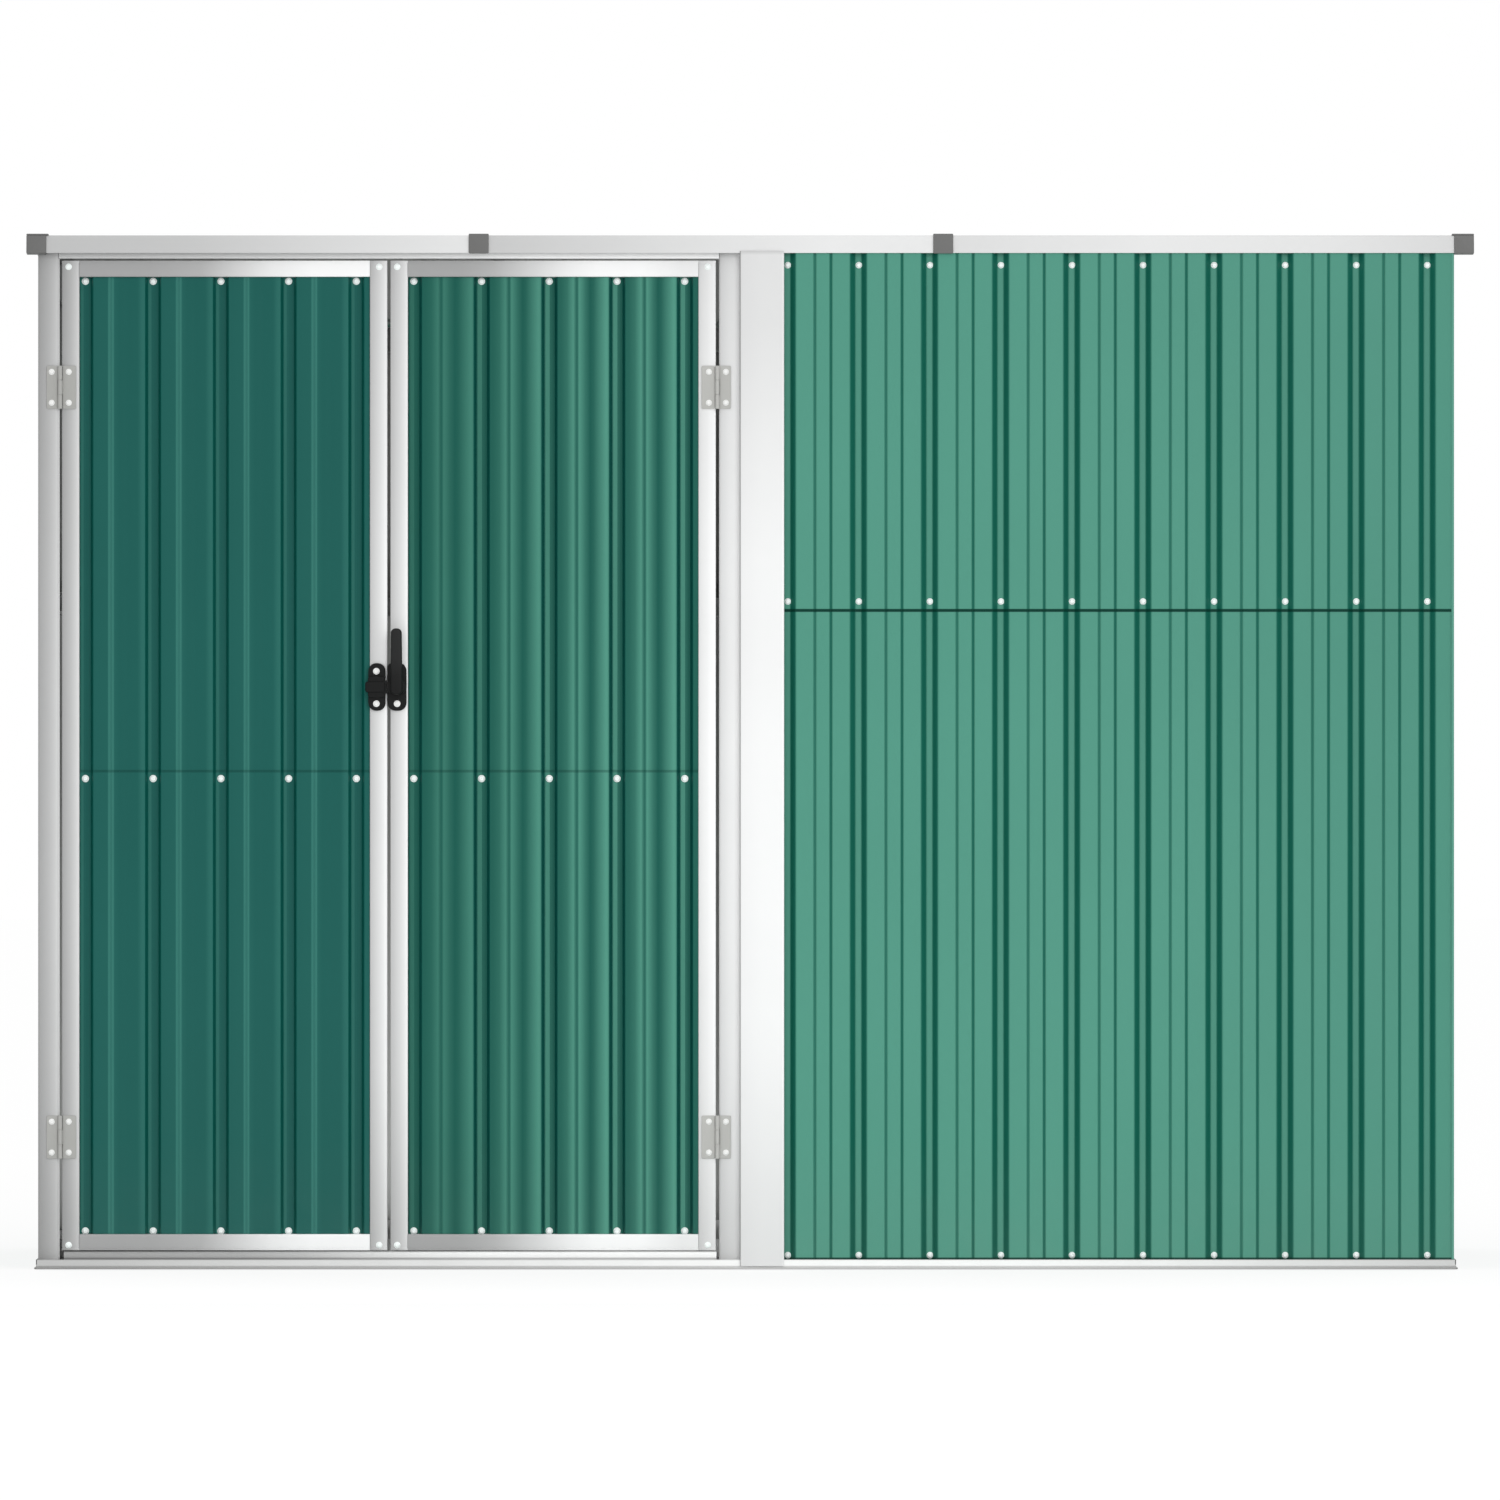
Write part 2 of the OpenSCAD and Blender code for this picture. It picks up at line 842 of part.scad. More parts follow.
module left_hinge_leaves() {
  color(hinge_grey) hinge_moving(hinge_x()[0], 1);
}

module right_hinge_leaves() {
  color(hinge_grey) hinge_moving(hinge_x()[1], -1);
}

// Door leaves, drawn from the left edge of the leaf at x

// Box profile with a sheet flange behind, towards s
module stile(x, s) {
  clear = leaf_rail_h + leaf_flange + seat;
  translate([x, face_y, 0]) {
    upright(leaf_z0, leaf_z1)
      difference() {
        translate([s > 0 ? 0 : -stile_w, 0])
          square([stile_w, leaf_d]);
        translate([s > 0 ? prof_t : prof_t - stile_w, prof_t])
          square([stile_w - 2 * prof_t, leaf_d - 2 * prof_t]);
      }
    upright(leaf_z0 + clear, leaf_z1 - clear)
      translate([s > 0 ? stile_w - prof_t : -stile_w - leaf_flange, leaf_d - prof_t])
        square([leaf_flange + prof_t, prof_t]);
  }
}

module stiles(x) {
  color(grey) {
    stile(x, 1);
    stile(x + leaf_w, -1);
  }
}

module leaf_rail(x, z, s) {
  translate([0, face_y, z]) {
    along_x(x + stile_w + seat, x + leaf_w - stile_w - seat) {
      difference() {
        translate([0, s > 0 ? 0 : -leaf_rail_h])
          square([leaf_d, leaf_rail_h]);
        translate([prof_t, s > 0 ? prof_t : prof_t - leaf_rail_h])
          square([leaf_d - 2 * prof_t, leaf_rail_h - 2 * prof_t]);
      }
      translate([leaf_d - prof_t, s > 0 ? leaf_rail_h - prof_t : -leaf_rail_h - leaf_flange])
        square([prof_t, leaf_flange + prof_t]);
    }
  }
}

// Top and bottom rails, and a shallow channel behind the lap
module leaf_rails(x) {
  inset = stile_w + leaf_flange + seat;
  color(grey) {
    leaf_rail(x, leaf_z0, 1);
    leaf_rail(x, leaf_z1, -1);
    translate([0, face_y + leaf_d - prof_t, door_lap_z - 9 - mid_h / 2])
      along_x(x + inset, x + leaf_w - inset)
        polygon(channel(8, mid_h, 1));
  }
}

function leaf_line(x) = door_line(x + stile_w + 3 * seat, x + leaf_w - stile_w - 3 * seat, x + stile_w + 9);

module leaf_sheet(x, z0, z1, up) {
  color(green)
    translate([0, face_y + leaf_d - prof_t - seat, 0])
      upright(z0, z1)
        polygon(sheet_poly(leaf_line(x), up, 0));
}

module left_door_stiles() {
  stiles(leaf_l);
}

module left_door_rails() {
  leaf_rails(leaf_l);
}

module left_door_upper_sheet() {
  leaf_sheet(leaf_l, door_lap_z - lap, leaf_z1 - leaf_rail_h - 3 * seat, 0);
}

module left_door_lower_sheet() {
  leaf_sheet(leaf_l, leaf_z0 + leaf_rail_h + 3 * seat, door_lap_z, lift);
}

module right_door_stiles() {
  stiles(leaf_r);
}

module right_door_rails() {
  leaf_rails(leaf_r);
}

module right_door_upper_sheet() {
  leaf_sheet(leaf_r, door_lap_z - lap, leaf_z1 - leaf_rail_h - 3 * seat, 0);
}

module right_door_lower_sheet() {
  leaf_sheet(leaf_r, leaf_z0 + leaf_rail_h + 3 * seat, door_lap_z, lift);
}

// Latch, drawn round the spindle axis, Y towards the leaf

module across(r, y0, y1) {
  translate([0, y1, 0])
    rotate([90, 0, 0])
      cylinder(r = r, h = y1 - y0);
}

// Round-ended plate with a raised housing and a snout towards the tongue
module latch_keeper() {
  r = 12.7;
  color(black)
    translate([keeper_x, face_y - seat, latch_z]) {
      for (s = [-1, 1])
        translate([0, 0, s * (plate_half - r)])
          across(r, -plate_y, 0);
      translate([-r, -plate_y, r - plate_half])
        cube([2 * r, plate_y, 2 * (plate_half - r)]);
      translate([-r - 4, -10, -13.5])
        cube([2 * r + 4, 10, 27]);
      translate([r - 1, -9, -10])
        cube([4.6, 6, 20]);
    }
}

// Plate with a round foot and the spindle that carries the lever
module latch_plate() {
  r = plate_w / 2;
  color(black)
    translate([latch_x, face_y - seat, latch_z]) {
      translate([0, 0, r - plate_half])
        across(r, -plate_y, 0);
      translate([-r, -plate_y, r - plate_half])
        cube([plate_w, plate_y, 2 * plate_half - r]);
      across(spindle_r, -spindle_h, 0);
    }
}

// Hub on the spindle, upright lever and a short tongue towards the keeper
module latch_handle() {
  hub_r = 12.5;
  lever_w = 16;
  lever_h = 91;
  tongue = 15;
  front = latch_proud - seat;
  color(black)
    translate([latch_x, face_y - seat, latch_z])
      difference() {
        union() {
          across(hub_r, -15.5, -plate_y - 0.4);
          translate([-lever_w / 2, -front, 0])
            cube([lever_w, front - 13.5, lever_h - lever_w / 2]);
          translate([0, 0, lever_h - lever_w / 2])
            across(lever_w / 2, -front, -13.5);
          across(lever_w / 2, -front, -13.5);
          intersection() {
            translate([-tongue, -11, -10])
              cube([tongue, 6, 20]);
            across(tongue, -12, -4);
          }
        }
        across(spindle_r + spindle_fit, -spindle_h - spindle_fit, 0);
      }
}

front_base_rail();
back_base_rail();
left_base_rail();
right_base_rail();
threshold();
left_door_post();
right_door_post();
inner_posts();
door_header();
front_wall_top_rail();
top_rails();
rafters();
mid_rails();
cover_strip();
front_wall_upper_sheet();
front_wall_lower_sheet();
left_wall_upper_sheet();
left_wall_lower_sheet();
right_wall_upper_sheet();
right_wall_lower_sheet();
back_wall_upper_sheet();
back_wall_lower_sheet();
corner_trims();
left_roof_sheet();
middle_roof_sheet();
right_roof_sheet();
roof_front_trim();
roof_back_trim();
roof_side_trims();
roof_corner_caps();
roof_joint_caps();
hinge_post_leaves();
left_door_stiles();
left_door_rails();
left_door_upper_sheet();
left_door_lower_sheet();
left_hinge_leaves();
latch_keeper();
right_door_stiles();
right_door_rails();
right_door_upper_sheet();
right_door_lower_sheet();
right_hinge_leaves();
latch_plate();
latch_handle();
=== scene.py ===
import json
import math

import bmesh
import bpy
from mathutils import Matrix, Vector


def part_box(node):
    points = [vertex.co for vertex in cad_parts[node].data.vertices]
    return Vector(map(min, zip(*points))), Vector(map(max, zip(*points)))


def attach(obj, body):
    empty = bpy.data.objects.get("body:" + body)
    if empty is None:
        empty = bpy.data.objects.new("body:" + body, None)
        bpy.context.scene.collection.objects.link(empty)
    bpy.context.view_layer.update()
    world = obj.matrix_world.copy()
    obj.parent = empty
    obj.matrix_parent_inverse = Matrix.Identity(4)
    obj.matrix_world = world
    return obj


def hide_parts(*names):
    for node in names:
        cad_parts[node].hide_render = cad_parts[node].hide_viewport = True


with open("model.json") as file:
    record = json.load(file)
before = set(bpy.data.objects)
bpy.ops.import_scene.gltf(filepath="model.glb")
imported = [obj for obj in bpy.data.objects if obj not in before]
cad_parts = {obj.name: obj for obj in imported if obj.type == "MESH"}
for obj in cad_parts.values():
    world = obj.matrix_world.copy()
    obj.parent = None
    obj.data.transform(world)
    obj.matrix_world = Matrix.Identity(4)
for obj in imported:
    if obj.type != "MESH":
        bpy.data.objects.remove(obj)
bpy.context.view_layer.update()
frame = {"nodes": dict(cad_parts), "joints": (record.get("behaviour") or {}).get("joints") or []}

# Base. Four cold-rolled steel channels lie on the ground as a frame, each with a foot lip outside
# and an upturn inside, and a folded sill with a rolled front edge closes the doorway. Painted pale
# grey and screwed together.


def add(tree, kind, props=None, *values, **named):
    """A node with its properties set and its inputs filled or linked."""
    node = tree.nodes.new(kind)
    for key, value in (props or {}).items():
        setattr(node, key, value)
    inputs = dict(enumerate(values))
    inputs.update((key.replace("_", " "), value) for key, value in named.items())
    for key, value in inputs.items():
        if isinstance(value, bpy.types.NodeSocket):
            tree.links.new(value, node.inputs[key])
        else:
            node.inputs[key].default_value = value
    return node


def maths(tree, operation, *values):
    """Result of one sum on sockets or numbers."""
    return add(tree, "ShaderNodeMath", {"operation": operation}, *values).outputs[0]


def span(tree, value, low=0.0, high=1.0, a=0.0, b=1.0, smooth=False):
    """Value carried from one range to another, eased at both ends where smooth."""
    return add(
        tree,
        "ShaderNodeMapRange",
        {"interpolation_type": "SMOOTHSTEP" if smooth else "LINEAR"},
        Value=value,
        From_Min=low,
        From_Max=high,
        To_Min=a,
        To_Max=b,
    ).outputs["Result"]


def mark(tree, name):
    """Value of an attribute stored on the piece."""
    return add(tree, "ShaderNodeAttribute", {"attribute_name": name}).outputs["Fac"]


def tone_ramp(tree, value, stops):
    """Piecewise tone over a value from 0 to 1."""
    node = add(tree, "ShaderNodeValToRGB", None, value)
    elements = node.color_ramp.elements
    while len(elements) < len(stops):
        elements.new(1.0)
    for element, (at, tone) in zip(elements, stops):
        element.position = at
        element.color = (tone, tone, tone, 1.0)
    return node.outputs["Color"]


def blend(tree, factor, a, b, mode="MIX"):
    """Mix of two colours."""
    return add(
        tree, "ShaderNodeMix", {"data_type": "RGBA", "blend_type": mode}, Factor=factor, A=a, B=b
    ).outputs["Result"]


DUST = (0.40, 0.39, 0.36, 1.0)
DUST_TOP = 0.2


def paint(
    name, colour, rough, along=(), across=None, grain=900.0, bump=0.06, dust=0.0, shine=0.35, extra=None
):
    """Coated steel: tones along the axes and across the face that paint light and shade, uneven gloss, fine
    orange peel, dust near the ground.
    """
    mat = bpy.data.materials.new(name)
    mat.use_nodes = True
    tree = mat.node_tree
    bsdf = tree.nodes["Principled BSDF"]
    bsdf.inputs["Specular IOR Level"].default_value = shine
    spot = add(tree, "ShaderNodeTexCoord").outputs["Object"]
    place = add(tree, "ShaderNodeSeparateXYZ", None, spot)
    cloud = add(tree, "ShaderNodeTexNoise", None, Vector=spot, Scale=2.6, Detail=5.0).outputs["Fac"]
    shade = add(tree, "ShaderNodeRGB")
    shade.outputs[0].default_value = (*colour, 1.0)
    tone = shade.outputs[0]
    # Painted light and shade: each tone ramp along an axis, and the one across the face, multiplies the
    # colour
    for axis, low, high, stops in along:
        share = span(tree, place.outputs[axis], low, high)
        tone = blend(tree, 1.0, tone, tone_ramp(tree, share, stops), "MULTIPLY")
    if across:
        share = span(tree, mark(tree, "across"), -1.0, 1.0)
        tone = blend(tree, 1.0, tone, tone_ramp(tree, share, across), "MULTIPLY")
    if extra:
        tone = extra(tree, place, tone)
    level = span(tree, cloud, a=0.95, b=1.05)
    tone = add(tree, "ShaderNodeHueSaturation", None, Value=level, Color=tone).outputs["Color"]
    if dust:
        low = span(tree, place.outputs["Z"], 0.0, DUST_TOP, dust, 0.0)
        patch = add(tree, "ShaderNodeTexNoise", None, Vector=spot, Scale=22.0, Detail=6.0).outputs["Fac"]
        tone = blend(tree, maths(tree, "MULTIPLY", low, patch), tone, DUST)
    tree.links.new(tone, bsdf.inputs["Base Color"])
    tree.links.new(span(tree, cloud, a=rough - 0.07, b=rough + 0.07), bsdf.inputs["Roughness"])
    peel = add(tree, "ShaderNodeTexNoise", None, Vector=spot, Scale=grain).outputs["Fac"]
    fine = add(tree, "ShaderNodeBump", None, Strength=bump, Distance=0.0002, Height=peel)
    tree.links.new(fine.outputs["Normal"], bsdf.inputs["Normal"])
    return mat


def bends(points, radius, closed=False, step=0.004, cuts=5):
    """Line through points with round bends, cut into short runs."""
    pts = [Vector(p) for p in points]
    line = []
    for i, p in enumerate(pts):
        if not closed and i in (0, len(pts) - 1):
            line.append(p)
            continue
        a, b = pts[i - 1] - p, pts[(i + 1) % len(pts)] - p
        half = a.angle(b) / 2
        cut = min(radius / math.tan(half), 0.45 * a.length, 0.45 * b.length)
        r = cut * math.tan(half)
        centre = p + (a.normalized() + b.normalized()).normalized() * (r / math.sin(half))
        v0, v1 = p + a.normalized() * cut - centre, p + b.normalized() * cut - centre
        turn = v0.angle(v1)
        for k in range(cuts + 1):
            s = k / cuts
            line.append(centre + (v0 * math.sin((1 - s) * turn) + v1 * math.sin(s * turn)) / math.sin(turn))
    fine = [line[0]]
    for p in line[1:] + ([line[0]] if closed else []):
        n = max(1, math.ceil((p - fine[-1]).length / step))
        start = fine[-1]
        fine += [start.lerp(p, k / n) for k in range(1, n + 1)]
    return fine[:-1] if closed else fine


def block(x0, x1, y0, y1, radius):
    """Rectangle with round corners."""
    return bends([(x0, y0), (x1, y0), (x1, y1), (x0, y1)], radius, closed=True)


def folded(path, thick, radius=0.0022):
    """Outline of a sheet of one thickness folded along the middle line."""
    line = bends(path, radius)
    left, right = [], []
    for i, p in enumerate(line):
        t = (line[min(i + 1, len(line) - 1)] - line[max(i - 1, 0)]).normalized()
        n = Vector((-t.y, t.x)) * thick / 2
        left.append(p + n)
        right.append(p - n)
    return left + right[::-1]


def band(bm, a, b):
    """Faces between two rings of points."""
    n = len(a)
    return [bm.faces.new((a[i], a[(i + 1) % n], b[(i + 1) % n], b[i])) for i in range(n)]


def drawn(bm, outline, place, start, end, across=None):
    """Prism that carries an outline from start to end, marked from -1 at the left to 1 at the right."""
    layer = bm.verts.layers.float.get("across") or bm.verts.layers.float.new("across")
    a = [bm.verts.new(place(p, start)) for p in outline]
    b = [bm.verts.new(place(p, end)) for p in outline]
    faces = [*band(bm, a, b), bm.faces.new(a[::-1]), bm.faces.new(b)]
    bmesh.ops.recalc_face_normals(bm, faces=faces)
    if across:
        left, right = across
        for v in a + b:
            v[layer] = max(-1.0, min(1.0, 2 * (v.co.x - left) / (right - left) - 1))


def finished(name, made, body, nodes=(), mat=None, angle=32.0):
    """Puts a mesh into the scene as a piece that rides on a body."""
    if isinstance(made, bmesh.types.BMesh):
        mesh = bpy.data.meshes.new(name)
        made.to_mesh(mesh)
        made.free()
    else:
        mesh = made
    if mat:
        mesh.materials.clear()
        mesh.materials.append(mat)
    mesh.polygons.foreach_set("use_smooth", [True] * len(mesh.polygons))
    mesh.set_sharp_from_angle(angle=math.radians(angle))
    piece = bpy.data.objects.new(name, mesh)
    bpy.context.scene.collection.objects.link(piece)
    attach(piece, body)
    if nodes:
        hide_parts(*nodes)
    return piece


# Thickness of the frame steel and the line in its middle
steel = 0.0012
mid = steel / 2
foot_lip = 0.003
foot_top = 2 * steel
curb = 0.015
plate_top = 0.045
base_out = -0.0126
base_in = 0.0444
base_bend = 0.0014
end_reach = 0.012
corner_clear = 0.0421
middle_clear = 0.0251
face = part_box("left_door_stiles")[0].y
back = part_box("inner_posts")[1].y
frame_l, frame_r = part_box("inner_posts")[0].x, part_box("inner_posts")[1].x
base_l, base_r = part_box("front_base_rail")[0].x + foot_lip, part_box("front_base_rail")[1].x - foot_lip
# Painted light: the base is lighter in the middle and darker towards both ends; painted shade darkens the
# foot lip and the top edge of the curb
base_painted_light = [
    (0.0, 0.56),
    (0.047, 0.606),
    (0.09, 0.67),
    (0.26, 0.83),
    (0.43, 0.99),
    (0.5, 1.04),
    (0.69, 1.04),
    (0.79, 0.94),
    (1.0, 0.64),
]
curb_painted_shade = [(0.0, 0.5), (0.3, 0.6), (0.4, 1.0), (0.88, 1.0), (1.0, 0.7)]
base_grey = paint(
    "base_grey",
    (0.92, 0.925, 0.92),
    0.36,
    along=[("X", -1.11, 1.1, base_painted_light), ("Z", 0.0, curb, curb_painted_shade)],
    dust=0.15,
)
channel = folded(
    [
        (base_in, curb),
        (base_in, mid),
        (base_out - foot_lip, mid),
        (base_out - foot_lip, foot_top),
        (base_out, foot_top),
        (base_out, curb),
    ],
    steel,
    base_bend,
)
foot_edge = [(mid - foot_lip, mid), (mid - foot_lip, foot_top), (mid, foot_top), (mid, curb)]
upright = folded([(mid, steel), (mid, plate_top)], steel)
for name, y, s in (("front_base_rail", face, 1), ("back_base_rail", back, -1)):
    rail = bmesh.new()
    drawn(rail, channel, lambda p, x: (x, y + s * p.x, p.y), base_l, base_r)
    for edge, k in ((base_l, 1), (base_r, -1)):
        drawn(
            rail,
            folded([(end_reach, mid), *foot_edge], steel),
            lambda p, v: (edge + k * p.x, y + s * v, p.y),
            base_out - mid,
            base_in + mid,
        )
    runs = [(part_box("front_wall_top_rail")[0].x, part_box("front_wall_top_rail")[1].x)]
    if s < 0:
        middle = (frame_l + frame_r) / 2
        runs = [
            (frame_l + corner_clear, middle - middle_clear),
            (middle + middle_clear, frame_r - corner_clear),
        ]
    for x0, x1 in runs:
        drawn(rail, upright, lambda p, x: (x, y + s * p.x, p.y), x0, x1)
    finished(name + "_rolled", rail, "shed", [name], base_grey)
for name, edge, plane, s in (
    ("left_base_rail", base_l, frame_l, 1),
    ("right_base_rail", base_r, frame_r, -1),
):
    rail = bmesh.new()
    wall = abs(plane - edge)
    y0, y1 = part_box(name)[0].y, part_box(name)[1].y
    for line in (
        [(wall + base_in, curb), (wall + base_in, mid), *foot_edge],
        [(wall + mid, steel), (wall + mid, plate_top)],
    ):
        drawn(rail, folded(line, steel, base_bend), lambda p, y: (edge + s * p.x, y, p.y), y0, y1)
    finished(name + "_rolled", rail, "shed", [name], base_grey)


def across_front(p, x):
    """Place of a profile of depth and height that runs across the front."""
    return (x, face + p.x, p.y)


bead = 0.0009
sill_top = 0.0254
sill_back = 0.0296
tab_back = 0.0284
tab_steel = 0.0008
tab_lap = 0.0002
left_tab = 0.0078
right_tab = 0.0038
# Painted light: the sill grows lighter from left to right; painted shade darkens the lower part of its
# front
sill_painted_light = [(0.0, 0.38), (0.12, 0.41), (0.28, 0.46), (0.37, 0.56), (0.55, 0.90), (0.65, 1.0), (1.0, 1.02)]
sill_grey = paint(
    "sill_grey",
    (0.97, 0.975, 0.97),
    0.34,
    along=[("X", -1.07, -0.05, sill_painted_light), ("Z", 0.014, 0.022, [(0.0, 0.5), (0.35, 0.55), (0.55, 1.0)])],
)
lo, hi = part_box("threshold")
sill = bmesh.new()
tab = folded([(tab_back, steel), (tab_back, plate_top)], tab_steel)
drawn(sill, tab, across_front, lo.x - left_tab, lo.x + tab_lap)
drawn(sill, tab, across_front, hi.x - tab_lap, hi.x + right_tab)
sill_line = [(mid, steel), (mid, sill_top), (sill_back, sill_top), (sill_back, plate_top)]
drawn(sill, folded(sill_line, steel), across_front, lo.x, hi.x)
drawn(sill, block(0.0, 0.0024, 0.0246, 0.0268, bead), across_front, lo.x, hi.x)
finished("threshold_folded", sill, "shed", ["threshold"], sill_grey)

# Posts, header and cover strip. Rolled from the same pale grey steel with round bends and slightly
# crowned faces; the posts stand in the base, the left one has a bead along the door's edge, and the
# strip hides the joint between doorway and wall.

slope = math.radians(7.0)
lo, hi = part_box("left_door_post")
post_top = hi.z


def roof_line(y):
    """Height of the frame under the falling roof."""
    return post_top - (y - face) * math.tan(slope)


def upright_at(left):
    """Place of a profile that stands behind the face, cut off under the roof."""
    return lambda p, z: (left + p.x, face + p.y, min(z, roof_line(face + p.y)))


def crowned(outline, width, sag):
    """Sets the edges of a face back a little, so that it is bowed."""
    return [Vector((p.x, p.y + sag * (2 * p.x / width - 1) ** 2)) for p in outline]


PALE = (0.92, 0.925, 0.925)
# Painted light and shade: across a rolled face a darker left edge and a painted highlight on the right
# edge, over the posts and stiles light growing from left to right with a painted shadow line beside the
# right post, and from bottom to top painted shade towards both ends
edge_painted_light = [(0.0, 0.70), (0.1, 0.77), (0.5, 0.96), (0.8, 1.15), (0.9, 1.25), (1.0, 1.25)]
post_painted_light = [
    (0.0, 0.528),
    (0.035, 0.537),
    (0.06, 0.59),
    (0.45, 0.71),
    (0.47, 0.772),
    (0.49, 0.772),
    (0.5, 0.75),
    (0.52, 0.75),
    (0.9, 1.07),
    (0.929, 1.07),
    (0.941, 0.95),
    (0.946, 0.89),
    (0.953, 0.775),
    (0.9555, 0.97),
    (1.0, 0.99),
]
height_painted_shade = [
    (0.0, 0.76),
    (0.05, 0.78),
    (0.1, 0.83),
    (0.2, 0.92),
    (0.32, 0.975),
    (0.5, 1.0),
    (0.68, 0.985),
    (0.83, 0.92),
    (1.0, 0.82),
]
frame_grey = paint(
    "frame_grey",
    PALE,
    0.34,
    along=[("X", -1.11, 0.0, post_painted_light), ("Z", 0.0, 1.59, height_painted_shade)],
    across=edge_painted_light,
    dust=0.1,
)
post_w = hi.x - lo.x
flange = 0.025
side_flange = 0.035
web_x = 0.0137
web_front = 0.0013
web_back = 0.04
above_base = 0.0155
header_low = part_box("door_header")[0].z
left_line = [(mid, side_flange), (mid, mid), (post_w - mid, mid), (post_w - mid, flange)]
post = bmesh.new()
drawn(
    post,
    crowned(folded(left_line, steel, 0.0016), post_w, 0.0004),
    upright_at(lo.x),
    lo.z,
    post_top,
    (lo.x, hi.x),
)
drawn(post, folded([(web_x, web_front), (web_x, web_back)], steel), upright_at(lo.x), lo.z, post_top)
drawn(
    post,
    block(0.031, 0.0336, 0.0001, 0.0025, bead),
    upright_at(lo.x),
    above_base,
    header_low,
    (lo.x, hi.x),
)
finished("left_door_post_rolled", post, "shed", ["left_door_post"], frame_grey)

lo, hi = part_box("right_door_post")
post_w = hi.x - lo.x
behind_strip = 0.01
right_line = [(mid, flange), (mid, mid), (post_w - mid, mid), (post_w - mid, flange)]
post = bmesh.new()
drawn(
    post,
    folded(right_line, steel, 0.003),
    upright_at(lo.x),
    lo.z,
    post_top,
    (lo.x, hi.x - behind_strip),
)
finished("right_door_post_rolled", post, "shed", ["right_door_post"], frame_grey)

# Painted light: the header grows lighter from left to right
header_painted_light = [(0.0, 0.64), (0.45, 0.82), (0.62, 0.92), (0.72, 1.04), (1.0, 1.07)]
header_grey = paint("header_grey", PALE, 0.34, along=[("X", -1.08, -0.05, header_painted_light)])
lo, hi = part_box("door_header")
low, top = lo.z + mid, hi.z - mid
header_line = [(flange, low), (mid, low), (mid, top), (flange, top)]
header = bmesh.new()
drawn(header, folded(header_line, steel), across_front, lo.x, hi.x)
finished("door_header_rolled", header, "shed", ["door_header"], header_grey)

strip_lo, strip_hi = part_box("cover_strip")
wide = strip_hi.x - strip_lo.x
strip_steel = 0.001
thin = strip_steel / 2
strip_deep = 0.0152
strip_lip = 0.004
notch = strip_hi.z - 0.004
strip_line = [(thin, strip_deep), (thin, thin), (wide - thin, thin), (wide - thin, strip_lip)]
strip_flat = [(mid, thin), (wide - mid, thin)]
strip = bmesh.new()
for z0, z1, line in (
    (above_base, notch, strip_line),
    (strip_lo.z, above_base, strip_flat),
    (notch, strip_hi.z, strip_flat),
):
    drawn(
        strip,
        crowned(folded(line, strip_steel), wide, 0.0005),
        lambda p, z: (strip_lo.x + p.x, strip_lo.y + p.y, z),
        z0,
        z1,
        (strip_lo.x, strip_hi.x),
    )
# Painted shade: the strip darkens towards both ends with a dark line at its top edge; across it a painted
# shadow line on the left edge and a painted highlight on the right edge
strip_painted_shade = [
    (0.0, 0.77),
    (0.06, 0.79),
    (0.25, 0.92),
    (0.45, 0.94),
    (0.7, 0.92),
    (0.93, 0.76),
    (0.997, 0.76),
    (1.0, 0.58),
]
strip_grey = paint(
    "strip_grey",
    PALE,
    0.32,
    along=[("Z", 0.0, strip_hi.z, strip_painted_shade)],
    across=[(0.0, 0.4), (0.018, 0.45), (0.036, 0.96), (0.5, 1.0), (0.95, 1.0), (0.965, 1.06), (1.0, 1.06)],
)
finished("cover_strip_folded", strip, "shed", ["cover_strip"], strip_grey)

# Wall sheets. Galvanised steel roll-formed with valleys and grooved pans, painted green. They stand
# in the base rails, lap in two tiers, and their ends are covered by folded corner trims.


